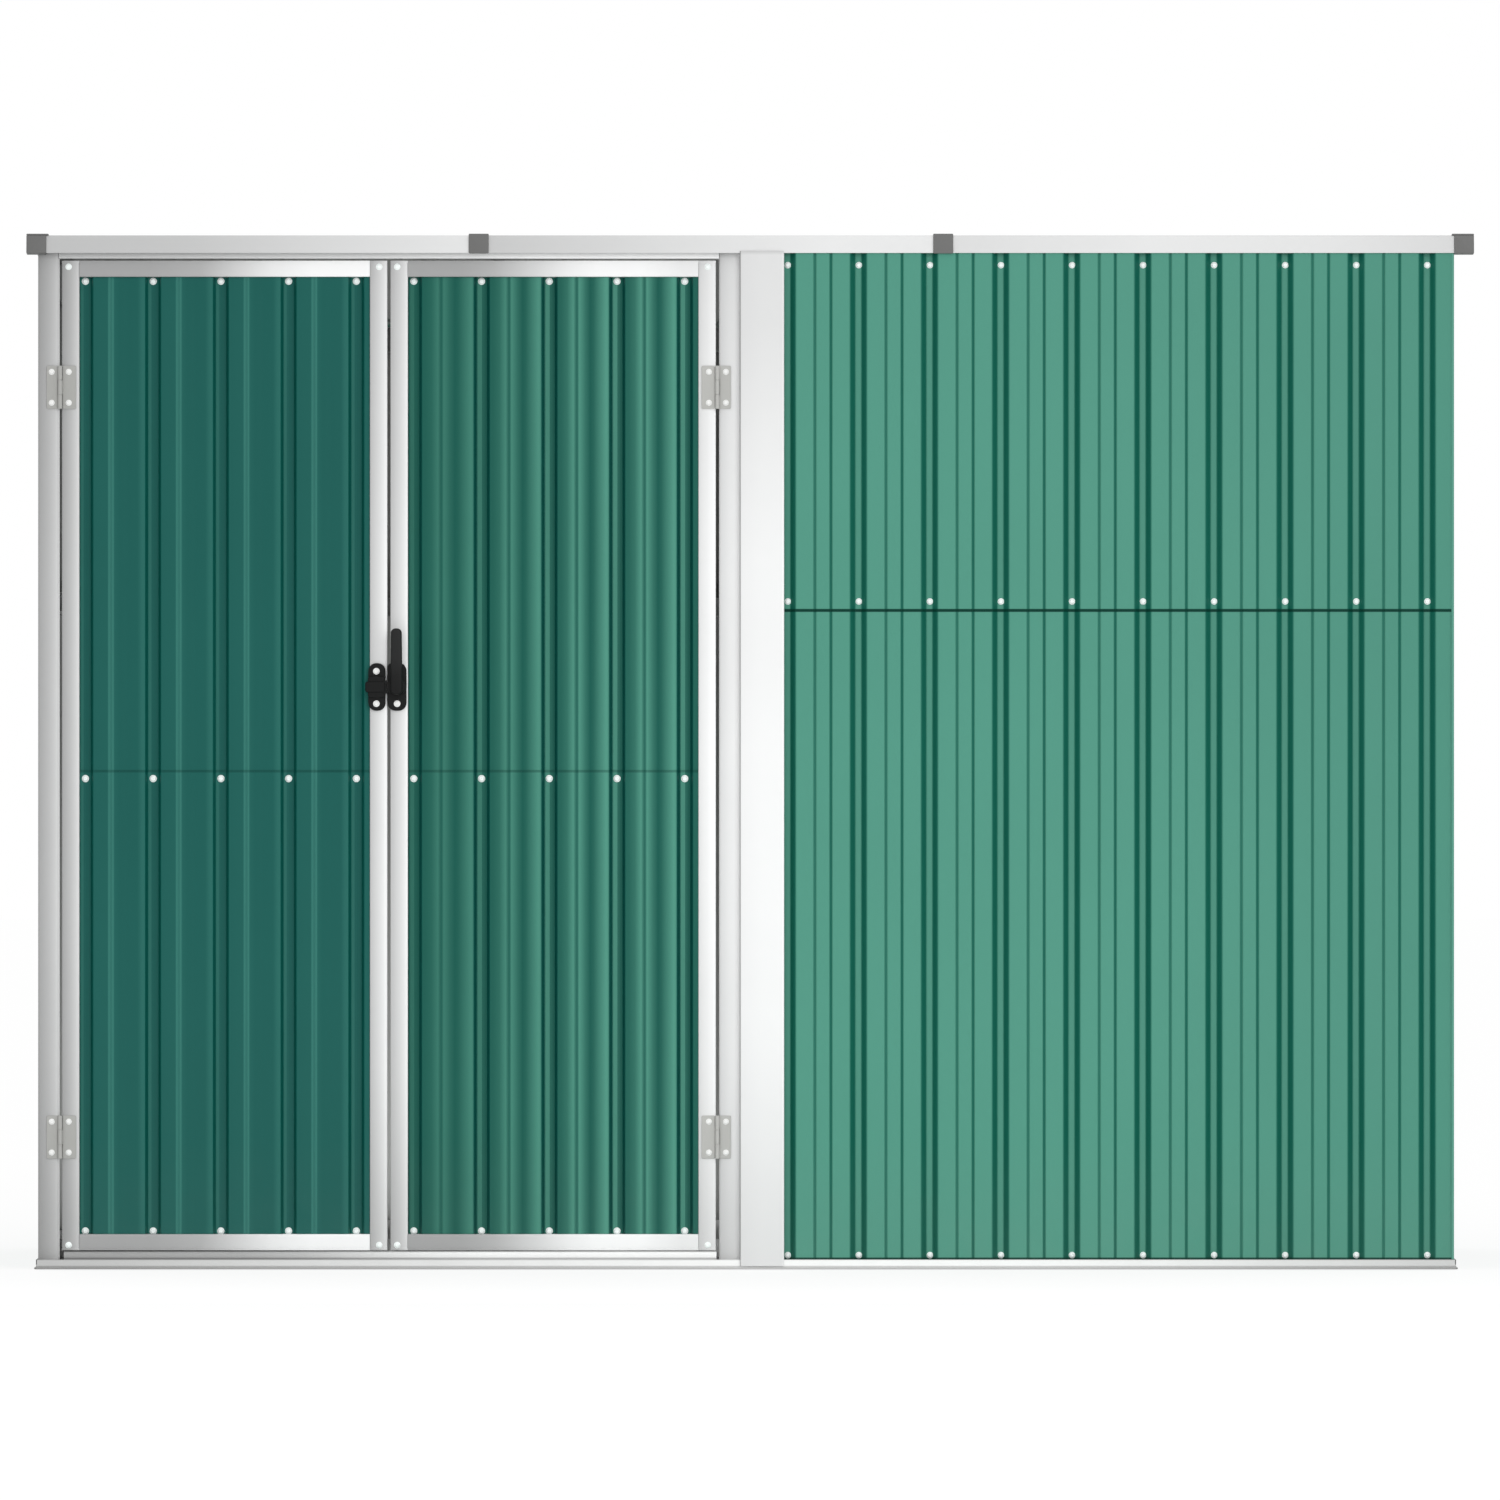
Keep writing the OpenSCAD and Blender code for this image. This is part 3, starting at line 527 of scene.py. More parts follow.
def ribbed_sheet_tree():
    """Grid bent to the valley and groove profile, marked with painted shade where it folds, then given its
    thickness.
    """
    tree = bpy.data.node_groups.new("Ribbed sheet", "GeometryNodeTree")
    tree.interface.new_socket("Geometry", in_out="INPUT", socket_type="NodeSocketGeometry")
    for name in (
        "Length",
        "Start height",
        "End height",
        "Pitch",
        "Valley",
        "Floor",
        "Side",
        "Depth",
        "Groove offset",
        "First width",
        "First depth",
        "Second width",
        "Second depth",
        "First shade",
        "Second shade",
        "Thickness",
        "Step",
    ):
        tree.interface.new_socket(name, in_out="INPUT", socket_type="NodeSocketFloat")
    tree.interface.new_socket("Material", in_out="INPUT", socket_type="NodeSocketMaterial")
    tree.interface.new_socket("Geometry", in_out="OUTPUT", socket_type="NodeSocketGeometry")
    inp = add(tree, "NodeGroupInput").outputs
    out = add(tree, "NodeGroupOutput")

    def calc(operation, *values):
        return maths(tree, operation, *values)

    def ease(value, low, high, a, b):
        return span(tree, value, low, high, a, b, smooth=True)

    def store(geometry, name, value, domain="POINT"):
        return add(
            tree,
            "GeometryNodeStoreNamedAttribute",
            {"data_type": "FLOAT", "domain": domain},
            Geometry=geometry,
            Name=name,
            Value=value,
        ).outputs[0]

    count = add(tree, "FunctionNodeFloatToInt", None, calc("DIVIDE", inp["Length"], inp["Step"])).outputs[0]
    grid = add(
        tree,
        "GeometryNodeMeshGrid",
        None,
        Size_X=inp["Length"],
        Size_Y=1.0,
        Vertices_X=count,
        Vertices_Y=2,
    )
    position = add(tree, "GeometryNodeInputPosition").outputs[0]
    parts = add(tree, "ShaderNodeSeparateXYZ", None, position).outputs
    u = calc("MULTIPLY_ADD", inp["Length"], 0.5, parts["X"])
    rise = calc("SUBTRACT", inp["End height"], inp["Start height"])
    top = calc("MULTIPLY_ADD", calc("DIVIDE", u, inp["Length"]), rise, inp["Start height"])
    high = calc("MULTIPLY", calc("ADD", parts["Y"], 0.5), top)
    half = calc("MULTIPLY", inp["Pitch"], 0.5)
    wrapped = calc("FLOORED_MODULO", calc("SUBTRACT", u, inp["Valley"]), inp["Pitch"])
    middle = calc("SUBTRACT", wrapped, half)
    away = calc("SUBTRACT", half, calc("ABSOLUTE", middle))
    rib = ease(away, inp["Floor"], calc("ADD", inp["Floor"], inp["Side"]), 0.0, inp["Depth"])
    first = calc("ABSOLUTE", calc("ADD", middle, inp["Groove offset"]))
    second = calc("ABSOLUTE", calc("SUBTRACT", middle, inp["Groove offset"]))
    dip = calc(
        "ADD",
        ease(first, 0.0, calc("MULTIPLY", inp["First width"], 0.5), inp["First depth"], 0.0),
        ease(second, 0.0, calc("MULTIPLY", inp["Second width"], 0.5), inp["Second depth"], 0.0),
    )
    # The shade covers the sloping side of a rib and a narrow line in each groove
    flank = calc("DIVIDE", calc("SUBTRACT", away, inp["Floor"]), inp["Side"])
    fold = calc("MULTIPLY", ease(flank, -0.12, 0.2, 0.0, 1.0), ease(flank, 0.75, 1.12, 1.0, 0.0))
    for groove, shade in ((first, inp["First shade"]), (second, inp["Second shade"])):
        fold = calc("MAXIMUM", fold, ease(groove, 0.001, 0.0032, shade, 0.0))
    bent = add(tree, "ShaderNodeCombineXYZ", None, u, calc("SUBTRACT", rib, dip), high)
    marked = store(grid.outputs["Mesh"], "fold", fold)
    marked = store(marked, "across", calc("DIVIDE", middle, half))
    place = add(tree, "GeometryNodeSetPosition", None, Geometry=marked, Position=bent.outputs[0])
    inner = store(place.outputs[0], "inside", 1.0, "FACE")
    flip = add(tree, "GeometryNodeFlipFaces", None, place.outputs[0])
    push = add(tree, "ShaderNodeCombineXYZ", None, 0.0, 1.0, 0.0)
    thick = add(
        tree,
        "GeometryNodeExtrudeMesh",
        None,
        Mesh=flip.outputs[0],
        Offset=push.outputs[0],
        Offset_Scale=inp["Thickness"],
        Individual=False,
    )
    join = add(tree, "GeometryNodeJoinGeometry")
    tree.links.new(thick.outputs["Mesh"], join.inputs[0])
    tree.links.new(inner, join.inputs[0])
    weld = add(tree, "GeometryNodeMergeByDistance", None, Geometry=join.outputs[0], Distance=0.00002)
    real = add(tree, "GeometryNodeRealizeInstances", None, weld.outputs[0])
    skin = add(tree, "GeometryNodeSetMaterial", None, Geometry=real.outputs[0], Material=inp["Material"])
    tree.links.new(skin.outputs[0], out.inputs[0])
    return tree


def grown(name, tree, values, seed=None):
    """Runs a node tree on a seed mesh and returns the result as a plain mesh."""
    maker = bpy.data.objects.new(name + "_maker", seed or bpy.data.meshes.new(name + "_seed"))
    bpy.context.scene.collection.objects.link(maker)
    mod = maker.modifiers.new("Maker", "NODES")
    mod.node_group = tree
    sockets = [item for item in tree.interface.items_tree if item.item_type == "SOCKET"]
    ids = {socket.name: socket.identifier for socket in sockets if socket.in_out == "INPUT"}
    for key, value in values.items():
        mod[ids[key]] = value
    bpy.context.view_layer.update()
    mesh = bpy.data.meshes.new_from_object(maker.evaluated_get(bpy.context.evaluated_depsgraph_get()))
    mesh.name = name
    bpy.data.objects.remove(maker)
    return mesh


BACK_COAT = (0.42, 0.43, 0.42, 1.0)


def folds(dark, laps=(), sheen=None):
    """Painted shade in the folds, painted shadow lines along the laps, a painted sheen over the pans, and
    the pale back coat inside.
    """

    def extra(tree, place, tone):
        if sheen:
            light, stops, x0, x1, weak = sheen
            share = span(tree, mark(tree, "across"), -1.0, 1.0)
            reach = span(tree, place.outputs["X"], x0, x1, weak, 1.0)
            amount = maths(tree, "MULTIPLY", tone_ramp(tree, share, stops), reach)
            tone = blend(tree, amount, tone, (*light, 1.0))
        # Painted shade in the folds and grooves
        tone = blend(tree, mark(tree, "fold"), tone, (*dark, 1.0))
        # Painted shadow lines along the laps
        shadow = (*(0.4 * c for c in dark), 1.0)
        for at, wide, strong in laps:
            off = maths(tree, "ABSOLUTE", maths(tree, "SUBTRACT", place.outputs["Z"], at))
            line = span(tree, off, wide * 0.5, wide, strong, 0.0, smooth=True)
            tone = blend(tree, line, tone, shadow)
        return blend(tree, mark(tree, "inside"), tone, BACK_COAT)

    return extra


fall, level = math.sin(slope), math.cos(slope)
turns = {
    "front": Matrix(((1, 0, 0), (0, -1, 0), (0, 0, 1))),
    "back": Matrix(((1, 0, 0), (0, 1, 0), (0, 0, 1))),
    "left": Matrix(((0, -1, 0), (1, 0, 0), (0, 0, 1))),
    "right": Matrix(((0, 1, 0), (1, 0, 0), (0, 0, 1))),
    "roof": Matrix(((1, 0, 0), (0, fall, level), (0, level, -fall))),
}
sheet_tree = ribbed_sheet_tree()
WALL = {
    "Pitch": 0.1105,
    "Floor": 0.004,
    "Side": 0.010,
    "Depth": 0.010,
    "Groove offset": 0.0125,
    "First width": 0.007,
    "First depth": 0.002,
    "Second width": 0.007,
    "Second depth": 0.002,
    "First shade": 0.75,
    "Second shade": 0.95,
    "Thickness": 0.0008,
    "Step": 0.0009,
}


def formed_sheet(node, side, body, origin, length, heights, valley, shape, mat):
    """One ribbed sheet in place of its node."""
    values = {
        **shape,
        "Length": length,
        "Start height": heights[0],
        "End height": heights[1],
        "Valley": valley,
        "Material": mat,
    }
    mesh = grown(node + "_formed", sheet_tree, values)
    turn = turns[side]
    mesh.transform(Matrix.Translation(origin) @ turn.to_4x4())
    if turn.determinant() < 0:
        mesh.flip_normals()
    return finished(node + "_formed", mesh, body, [node], angle=40.0)


wall_pitch = WALL["Pitch"]
sheet_steel = WALL["Thickness"]
back_valleys = 20
side_valleys = 8
front_valley = 0.0049
under_trim = 0.0014
under_roof = 0.0004
lap_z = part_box("front_wall_upper_sheet")[0].z
GREEN = (0.080, 0.281, 0.210)
# Painted shade in the folds and grooves of the green sheets
FOLD_SHADE_GREEN = (0.008, 0.120, 0.083)
# Painted shade: the wall darkens towards its right end, with painted shadow lines along the lap and along
# the top of the base
wall_green = paint(
    "wall_green",
    GREEN,
    0.42,
    along=[("X", 0.05, 1.09, [(0.0, 1.04), (0.5, 1.04), (1.0, 0.94)])],
    dust=0.06,
    shine=0.08,
    extra=folds(FOLD_SHADE_GREEN, [(lap_z, 0.0032, 1.0), (0.0162, 0.0026, 1.0)]),
)
for tier in ("upper", "lower"):
    node = f"front_wall_{tier}_sheet"
    lo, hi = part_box(node)
    tall = hi.z - lo.z
    formed_sheet(
        node,
        "front",
        "shed",
        Vector((lo.x, hi.y, lo.z)),
        hi.x - lo.x,
        (tall, tall),
        strip_hi.x + front_valley - lo.x,
        WALL,
        wall_green,
    )
    node = f"back_wall_{tier}_sheet"
    lo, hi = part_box(node)
    tall = hi.z - lo.z - (under_trim if tier == "upper" else 0.0)
    formed_sheet(
        node,
        "back",
        "shed",
        Vector((lo.x, lo.y, lo.z)),
        hi.x - lo.x,
        (tall, tall),
        (hi.x - lo.x - (back_valleys - 1) * wall_pitch) / 2,
        WALL,
        wall_green,
    )
    for side in ("left", "right"):
        node = f"{side}_wall_{tier}_sheet"
        lo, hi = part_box(node)
        ends = (hi.z - lo.z, hi.z - lo.z)
        if tier == "upper":
            ends = [roof_line(y) - under_roof - lo.z for y in (lo.y, hi.y)]
        formed_sheet(
            node,
            side,
            "shed",
            Vector((hi.x if side == "left" else lo.x, lo.y, lo.z)),
            hi.y - lo.y,
            ends,
            (hi.y - lo.y - (side_valleys - 1) * wall_pitch) / 2,
            WALL,
            wall_green,
        )

lo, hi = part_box("corner_trims")
corner_green = paint("corner_green", (0.092, 0.288, 0.22), 0.4, dust=0.06, shine=0.08)
skin_mid = sheet_steel / 2
corner_lip = 0.004
corner_side = 0.027
corner_bend = 0.0012
corner_gap = 0.0003
corner_line = [(corner_lip, skin_mid), (skin_mid, skin_mid), (skin_mid, corner_side)]
corner = folded(corner_line, sheet_steel, corner_bend)
corners = bmesh.new()
for x, y, sx, sy in ((hi.x, lo.y, -1, 1), (hi.x, hi.y, -1, -1), (lo.x, hi.y, 1, -1)):
    drawn(
        corners,
        corner,
        lambda p, z: (
            x + sx * p.x,
            y + sy * p.y,
            z if sy > 0 else min(z, roof_line(y + sy * p.y) - corner_gap),
        ),
        lo.z,
        hi.z,
    )
finished("corner_trims_folded", corners, "shed", ["corner_trims"], corner_green)

# Roof. Three ribbed sheets fall to the back, lapped over two rafters. A pale grey angle covers each
# edge in lengths, and moulded grey plastic caps close the corners and the joints of the lengths.

roof_valleys = 20
roof_lap = 0.0009
eaves = -0.0109
cap_wall = 0.0024
trim_drop = 0.0152
roof = Matrix.Translation((0, face, post_top + 0.0001 / level)) @ Matrix.Rotation(-slope, 4, "X")
cap_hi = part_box("roof_corner_caps")[1]
cap_front = -0.0146
cap_back = (cap_hi.y - face - trim_drop * fall) / level
trim_front = cap_front + cap_wall
trim_back = cap_back - cap_wall
side_l, side_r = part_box("roof_side_trims")[0].x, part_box("roof_side_trims")[1].x
# Painted shade in the folds of the roof sheets
roof_green = paint("roof_green", GREEN, 0.4, shine=0.08, extra=folds(FOLD_SHADE_GREEN))
first_valley = (side_l + side_r) / 2 - (roof_valleys - 1) / 2 * wall_pitch
back_gap = 0.0013
tall = trim_back - back_gap - eaves
for part, up in (("left", 0.0), ("middle", roof_lap), ("right", 0.0)):
    node = part + "_roof_sheet"
    lo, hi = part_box(node)
    formed_sheet(
        node,
        "roof",
        "shed",
        roof @ Vector((lo.x, eaves, up)),
        hi.x - lo.x,
        (tall, tall),
        first_valley - lo.x,
        WALL,
        roof_green,
    )

# Painted light: each of the three lengths of the trim grows lighter or darker by itself
trim_painted_light = [
    (0.0, 0.53),
    (0.1, 0.575),
    (0.22, 0.70),
    (0.311, 0.79),
    (0.313, 0.57),
    (0.453, 0.723),
    (0.56, 0.812),
    (0.637, 0.79),
    (0.639, 0.69),
    (0.784, 0.78),
    (0.911, 0.718),
    (1.0, 0.635),
]
trim_grey = paint("trim_grey", PALE, 0.33, along=[("X", -1.11, 1.1, trim_painted_light)])
cap_half = 0.0155
trim_gap = 0.001
joint_xs = (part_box("roof_joint_caps")[0].x + cap_half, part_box("roof_joint_caps")[1].x - cap_half)
reach = cap_hi.x - cap_wall
trim_ends = (-reach - trim_gap, *joint_xs, reach + trim_gap)
trim_steel = 0.001
trim_mid = trim_steel / 2
trim_top = 0.0123
trim_over = 0.022
trim_bend = 0.0018
trim_line = [(trim_mid, -trim_drop), (trim_mid, trim_top), (trim_over, trim_top)]
trim_angle = folded(trim_line, trim_steel, trim_bend)
for name, v, s in (("roof_front_trim", trim_front, 1), ("roof_back_trim", trim_back, -1)):
    trim = bmesh.new()
    for x0, x1 in zip(trim_ends, trim_ends[1:]):
        drawn(
            trim,
            trim_angle,
            lambda p, x: roof @ Vector((x, v + s * p.x, p.y)),
            x0 + trim_gap,
            x1 - trim_gap,
        )
    finished(name + "_folded", trim, "shed", [name], trim_grey)
side_start = 0.010
side_end = trim_back - 0.0222
trim = bmesh.new()
for x, s in ((side_l, 1), (side_r, -1)):
    drawn(trim, trim_angle, lambda p, v: roof @ Vector((x + s * p.x, v, p.y)), side_start, side_end)
finished("roof_side_trims_folded", trim, "shed", ["roof_side_trims"], trim_grey)


def slab(bm, outline, low, high, rim, place, cuts=4):
    """Plate over an outline from one level to another, with a rounded upper rim."""
    pts = [Vector(p) for p in outline]
    n = len(pts)
    if sum(pts[i].cross(pts[(i + 1) % n]) for i in range(n)) < 0:
        pts.reverse()
    normals = []
    for i, p in enumerate(pts):
        a, b = (p - pts[i - 1]).normalized(), (pts[(i + 1) % n] - p).normalized()
        t = (a + b).normalized()
        normals.append(Vector((t.y, -t.x)) / max(0.5, t.dot(a)))
    rings = [[bm.verts.new(place(p.x, p.y, low)) for p in pts]]
    for k in range(cuts + 1):
        a = k / cuts * math.pi / 2
        inset, level = rim * (1 - math.cos(a)), high - rim * (1 - math.sin(a))
        rings.append([bm.verts.new(place(*(p - m * inset), level)) for p, m in zip(pts, normals)])
    faces = [f for r0, r1 in zip(rings, rings[1:]) for f in band(bm, r0, r1)]
    faces += [bm.faces.new(rings[0][::-1]), bm.faces.new(rings[-1])]
    bmesh.ops.recalc_face_normals(bm, faces=faces)


def lathe(bm, profile, place, sides=24, hollow=False):
    """Turned shape; profile holds radius and height, and runs back to its start where hollow."""
    angles = [2 * math.pi * k / sides for k in range(sides)]
    rings = [[bm.verts.new(place(r * math.cos(a), r * math.sin(a), z)) for a in angles] for r, z in profile]
    following = rings[1:] + (rings[:1] if hollow else [])
    faces = [f for r0, r1 in zip(rings, following) for f in band(bm, r0, r1)]
    if not hollow:
        faces += [bm.faces.new(rings[0][::-1]), bm.faces.new(rings[-1])]
    bmesh.ops.recalc_face_normals(bm, faces=faces)


cap_plastic = paint("cap_plastic", (0.150, 0.150, 0.148), 0.5, grain=1500.0, bump=0.12, shine=0.2)
dome = [(0.0042, 0.0), (0.0042, 0.0004), (0.0036, 0.0010), (0.0022, 0.0014), (0.0008, 0.0015)]
dome_z = 0.0136
cap_low = -0.0162
cap_w = 2 * cap_half
lid_w = 0.0345
lid_low = 0.0128
lid_top = 0.0148
lid_rim = 0.0008
cap_round = 0.0016
lid_round = 0.0022
front_cap_deep = 0.0142
dome_in = 0.0165
caps = bmesh.new()
for sx in (-1, 1):
    x0 = sx * cap_hi.x
    for sv, v0, deep in ((1, cap_front, front_cap_deep), (-1, cap_back, cap_w)):
        # Box of the cap with its rounded face, then the wider lid with the screw on it
        slab(
            caps,
            block(cap_low, lid_low, 0.0, cap_w, cap_round),
            -deep,
            0.0,
            cap_round,
            lambda a, b, d: roof @ Vector((x0 - sx * b, v0 - sv * d, a)),
        )
        slab(
            caps,
            block(0.0, lid_w, 0.0, lid_w, lid_round),
            lid_low,
            lid_top,
            lid_rim,
            lambda a, b, d: roof @ Vector((x0 - sx * a, v0 + sv * b, d)),
        )
        lathe(
            caps,
            dome,
            lambda a, b, d: roof @ Vector((x0 - sx * dome_in + a, v0 + sv * dome_in + b, dome_z + d)),
        )
finished("roof_corner_caps_moulded", caps, "shed", ["roof_corner_caps"], cap_plastic)
joint_cap_top = 0.0137
joint_cap_deep = 0.0022
joint_cap_rim = 0.0009
joint_lid_low = 0.0130
joint_dome_in = 0.018
caps = bmesh.new()
for x in joint_xs:
    for sv, v0 in ((1, cap_front), (-1, cap_back)):
        slab(
            caps,
            block(cap_low, joint_cap_top, -cap_half, cap_half, cap_round),
            -joint_cap_deep,
            0.0,
            joint_cap_rim,
            lambda a, b, d: roof @ Vector((x + b, v0 - sv * d, a)),
        )
        slab(
            caps,
            block(-cap_half, cap_half, 0.0, cap_w, lid_round),
            joint_lid_low,
            lid_top,
            lid_rim,
            lambda a, b, d: roof @ Vector((x + a, v0 + sv * b, d)),
        )
        lathe(caps, dome, lambda a, b, d: roof @ Vector((x + a, v0 + sv * joint_dome_in + b, dome_z + d)))
finished("roof_joint_caps_moulded", caps, "shed", ["roof_joint_caps"], cap_plastic)

# Door leaves. Each is a frame of rectangular steel tube, pale grey, with rolled lips along its upper
# and lower edges and a rear flange that carries two lapped green sheets; a shallow channel stiffens
# the lap from behind.

stile_w = 0.027
rail_h = 0.023
leaf_deep = 0.016
flange_y = leaf_deep - mid
flange_w = 0.0192
flange_end = 0.0411
stiff_h = 0.03
stiff_deep = 0.0228
stiff_end = 0.0451
stiff_low = 0.024
# Painted reflection: each leaf's rails run from grey at the left to near white towards the right
left_rail_painted_reflection = [(0.0, 0.385), (0.25, 0.40), (0.42, 0.47), (0.66, 0.88), (0.8, 0.99), (1.0, 1.01)]
right_rail_painted_reflection = [
    (0.0, 0.38),
    (0.19, 0.395),
    (0.3, 0.475),
    (0.45, 0.72),
    (0.55, 0.9),
    (0.65, 1.0),
    (0.8, 1.0),
    (0.94, 0.88),
    (1.0, 0.88),
]
rail_greys = {
    "left_door": paint("left_rail_grey", PALE, 0.3, along=[("X", -1.045, -0.59, left_rail_painted_reflection)]),
    "right_door": paint("right_rail_grey", PALE, 0.3, along=[("X", -0.535, -0.078, right_rail_painted_reflection)]),
}
DOOR = {
    **WALL,
    "Pitch": 0.1054,
    "Floor": 0.0078,
    "Side": 0.005,
    "First width": 0.0045,
    "First depth": 0.0007,
    "Second width": 0.02,
    "Second depth": 0.0003,
    "First shade": 0.0,
    "Second shade": 0.0,
}
door_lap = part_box("left_door_lower_sheet")[1].z
# Painted shade: the leaves carry darker, shaded copies of the wall's green, the right one darker than the
# left; the second colour of each leaf is the painted shade in its folds
leaf_shaded_green = {"left_door": (0.0119, 0.106, 0.090), "right_door": (0.0090, 0.097, 0.074)}
leaf_fold_shade = {"left_door": (0.002, 0.085, 0.068), "right_door": (0.002, 0.072, 0.058)}
door_valleys = {"left_door": 0.0089, "right_door": 0.0093}
# Painted sheen, a painted reflection over the pans: even on the left leaf and growing over the right one
left_painted_sheen = [
    (0.0, 0.0),
    (0.33, 0.04),
    (0.345, 0.6),
    (0.379, 0.35),
    (0.412, 0.65),
    (0.43, 0.08),
    (0.5, 0.0),
    (0.77, 0.0),
    (0.835, 0.22),
    (0.865, 0.25),
    (0.93, 0.4),
    (0.96, 0.4),
    (0.985, 0.0),
]
right_painted_sheen = [
    (0.02, 0.2),
    (0.05, 0.05),
    (0.17, 0.1),
    (0.26, 0.3),
    (0.35, 0.9),
    (0.38, 0.4),
    (0.409, 0.1),
    (0.438, 0.92),
    (0.53, 0.3),
    (0.60, 0.0),
    (0.65, 0.1),
    (0.835, 1.0),
    (0.862, 0.9),
    (0.885, 0.1),
    (0.925, 0.1),
    (0.945, 0.95),
    (0.985, 0.85),
]
painted_sheens = {
    "left_door": ((0.055, 0.235, 0.195), left_painted_sheen, -1.04, -0.6, 1.0),
    "right_door": ((0.081, 0.29, 0.219), right_painted_sheen, -0.53, -0.25, 0.35),
}
lip = block(0.0, 0.0024, -0.001, 0.0022, bead)
rail_tube = block(0, leaf_deep, 0, rail_h, 0.0013)
rail_flange = folded([(flange_y, rail_h - steel), (flange_y, rail_h - steel + flange_w)], steel)
stiff_line = [(stiff_deep, mid), (flange_y, mid), (flange_y, stiff_h - mid), (stiff_deep, stiff_h - mid)]
# The front of a stile is bowed by half a millimetre
stile_tube = [
    Vector((p.x, p.y + max(0.0, 0.5 - p.y / leaf_deep) * 0.001 * (2 * p.x / stile_w - 1) ** 2))
    for p in block(0, stile_w, 0, leaf_deep, 0.0014)
]
for body in ("left_door", "right_door"):
    lo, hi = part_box(body + "_stiles")
    stiles = bmesh.new()
    for x, s in ((lo.x, 1), (hi.x - stile_w, -1)):
        tones = (x, x + stile_w)
        drawn(stiles, stile_tube, lambda p, z: (x + p.x, lo.y + p.y, z), lo.z, hi.z, tones)
        inner = x + stile_w - steel if s > 0 else x + steel
        drawn(
            stiles,
            folded([(inner, lo.y + flange_y), (inner + s * flange_w, lo.y + flange_y)], steel),
            lambda p, z: (p.x, p.y, z),
            lo.z + flange_end,
            hi.z - flange_end,
        )
        for z, up in ((lo.z, -1), (hi.z, 1)):
            drawn(stiles, lip, lambda p, v: (v, lo.y + p.x, z + up * p.y), x, x + stile_w, tones)
    finished(body + "_stiles_tube", stiles, body, [body + "_stiles"], frame_grey)

    rails = bmesh.new()
    x0, x1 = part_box(body + "_rails")[0].x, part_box(body + "_rails")[1].x
    for z, s in ((lo.z, 1), (hi.z, -1)):
        drawn(rails, rail_tube, lambda p, x: (x, lo.y + p.x, z + s * p.y), x0, x1)
        drawn(rails, lip, lambda p, x: (x, lo.y + p.x, z - s * p.y), x0, x1)
        drawn(rails, rail_flange, lambda p, x: (x, lo.y + p.x, z + s * p.y), x0, x1)
    drawn(
        rails,
        folded(stiff_line, steel, 0.001),
        lambda p, x: (x, lo.y + p.x, door_lap - stiff_low + p.y),
        lo.x + stiff_end,
        hi.x - stiff_end,
    )
    finished(body + "_rails_tube", rails, body, [body + "_rails"], rail_greys[body])

    # Painted shade in the folds, a faint painted shadow line at the lap and a painted sheen over the pans
    door_green = paint(
        body + "_green",
        leaf_shaded_green[body],
        0.4,
        dust=0.04,
        shine=0.08,
        extra=folds(leaf_fold_shade[body], [(door_lap, 0.0028, 0.36)], painted_sheens[body]),
    )
    for tier in ("upper", "lower"):
        node = f"{body}_{tier}_sheet"
        lo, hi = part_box(node)
        tall = hi.z - lo.z
        formed_sheet(
            node,
            "front",
            body,
            Vector((lo.x, hi.y, lo.z)),
            hi.x - lo.x,
            (tall, tall),
            door_valleys[body],
            DOOR,
            door_green,
        )

# Hinges. Zinc-plated butt hinges, two to a leaf: stamped plates with rounded corners, knuckles rolled
# round a steel pin, each plate held by two screws.

# Painted light: the hinges darken towards the left
hinge_zinc = paint(
    "hinge_zinc", (0.46, 0.46, 0.44), 0.38, along=[("X", -1.1, 0.0, [(0.0, 0.84), (1.0, 1.0)])], grain=600.0
)
pivots = {joint["name"]: joint["pos_m"] for joint in frame["joints"]}
hinge_half_h = 0.0335
hinge_lo, hinge_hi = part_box("hinge_post_leaves")
hinge_zs = [hinge_lo.z + hinge_half_h, hinge_hi.z - hinge_half_h]
hinge_xs = {
    "left_door": (pivots["left_door_hinge"][0], 1),
    "right_door": (pivots["right_door_hinge"][0], -1),
}
pin_out = 0.0036
pin_r = 0.0020
pin_tip = 0.0016
bore_r = 0.0021
knuckle_r = 0.0034
knuckle_rim = knuckle_r - 0.0004
chamfer = 0.0005
hinge_low = 0.0001
hinge_top = 0.0017
hinge_rim = 0.0004
hinge_round = 0.002
plate_start = 0.0039
tab_reach = 0.0046
tab_top = 0.0014
tab_rim = 0.0003
post_reach = 0.021
leaf_reach = 0.0246
post_knuckle = 0.01147
leaf_knuckle = 0.01117


def hinge_at(x, z):
    """Place of a plate on the face, with its height as the last value."""
    return lambda a, b, d: Vector((x + a, face - d, z + b))


def pin_at(x, z):
    """Place of a turned shape on the pin's axis."""
    return lambda a, b, d: Vector((x + a, face - pin_out + b, z + d))


def hinge_half(bm, x, z, s, reach, knuckles):
    """Plate towards s with its share of the knuckles."""
    x0, x1 = sorted((s * plate_start, s * reach))
    plate = block(x0, x1, -hinge_half_h, hinge_half_h, hinge_round)
    slab(bm, plate, hinge_low, hinge_top, hinge_rim, hinge_at(x, z))
    for k0, k1 in knuckles:
        tab0, tab1 = sorted((0.0, s * tab_reach))
        slab(bm, block(tab0, tab1, k0, k1, tab_rim), hinge_low, tab_top, tab_rim, hinge_at(x, z))
        knuckle = [
            (bore_r, k0),
            (knuckle_rim, k0),
            (knuckle_r, k0 + chamfer),
            (knuckle_r, k1 - chamfer),
            (knuckle_rim, k1),
            (bore_r, k1),
        ]
        lathe(bm, knuckle, pin_at(x, z), hollow=True)


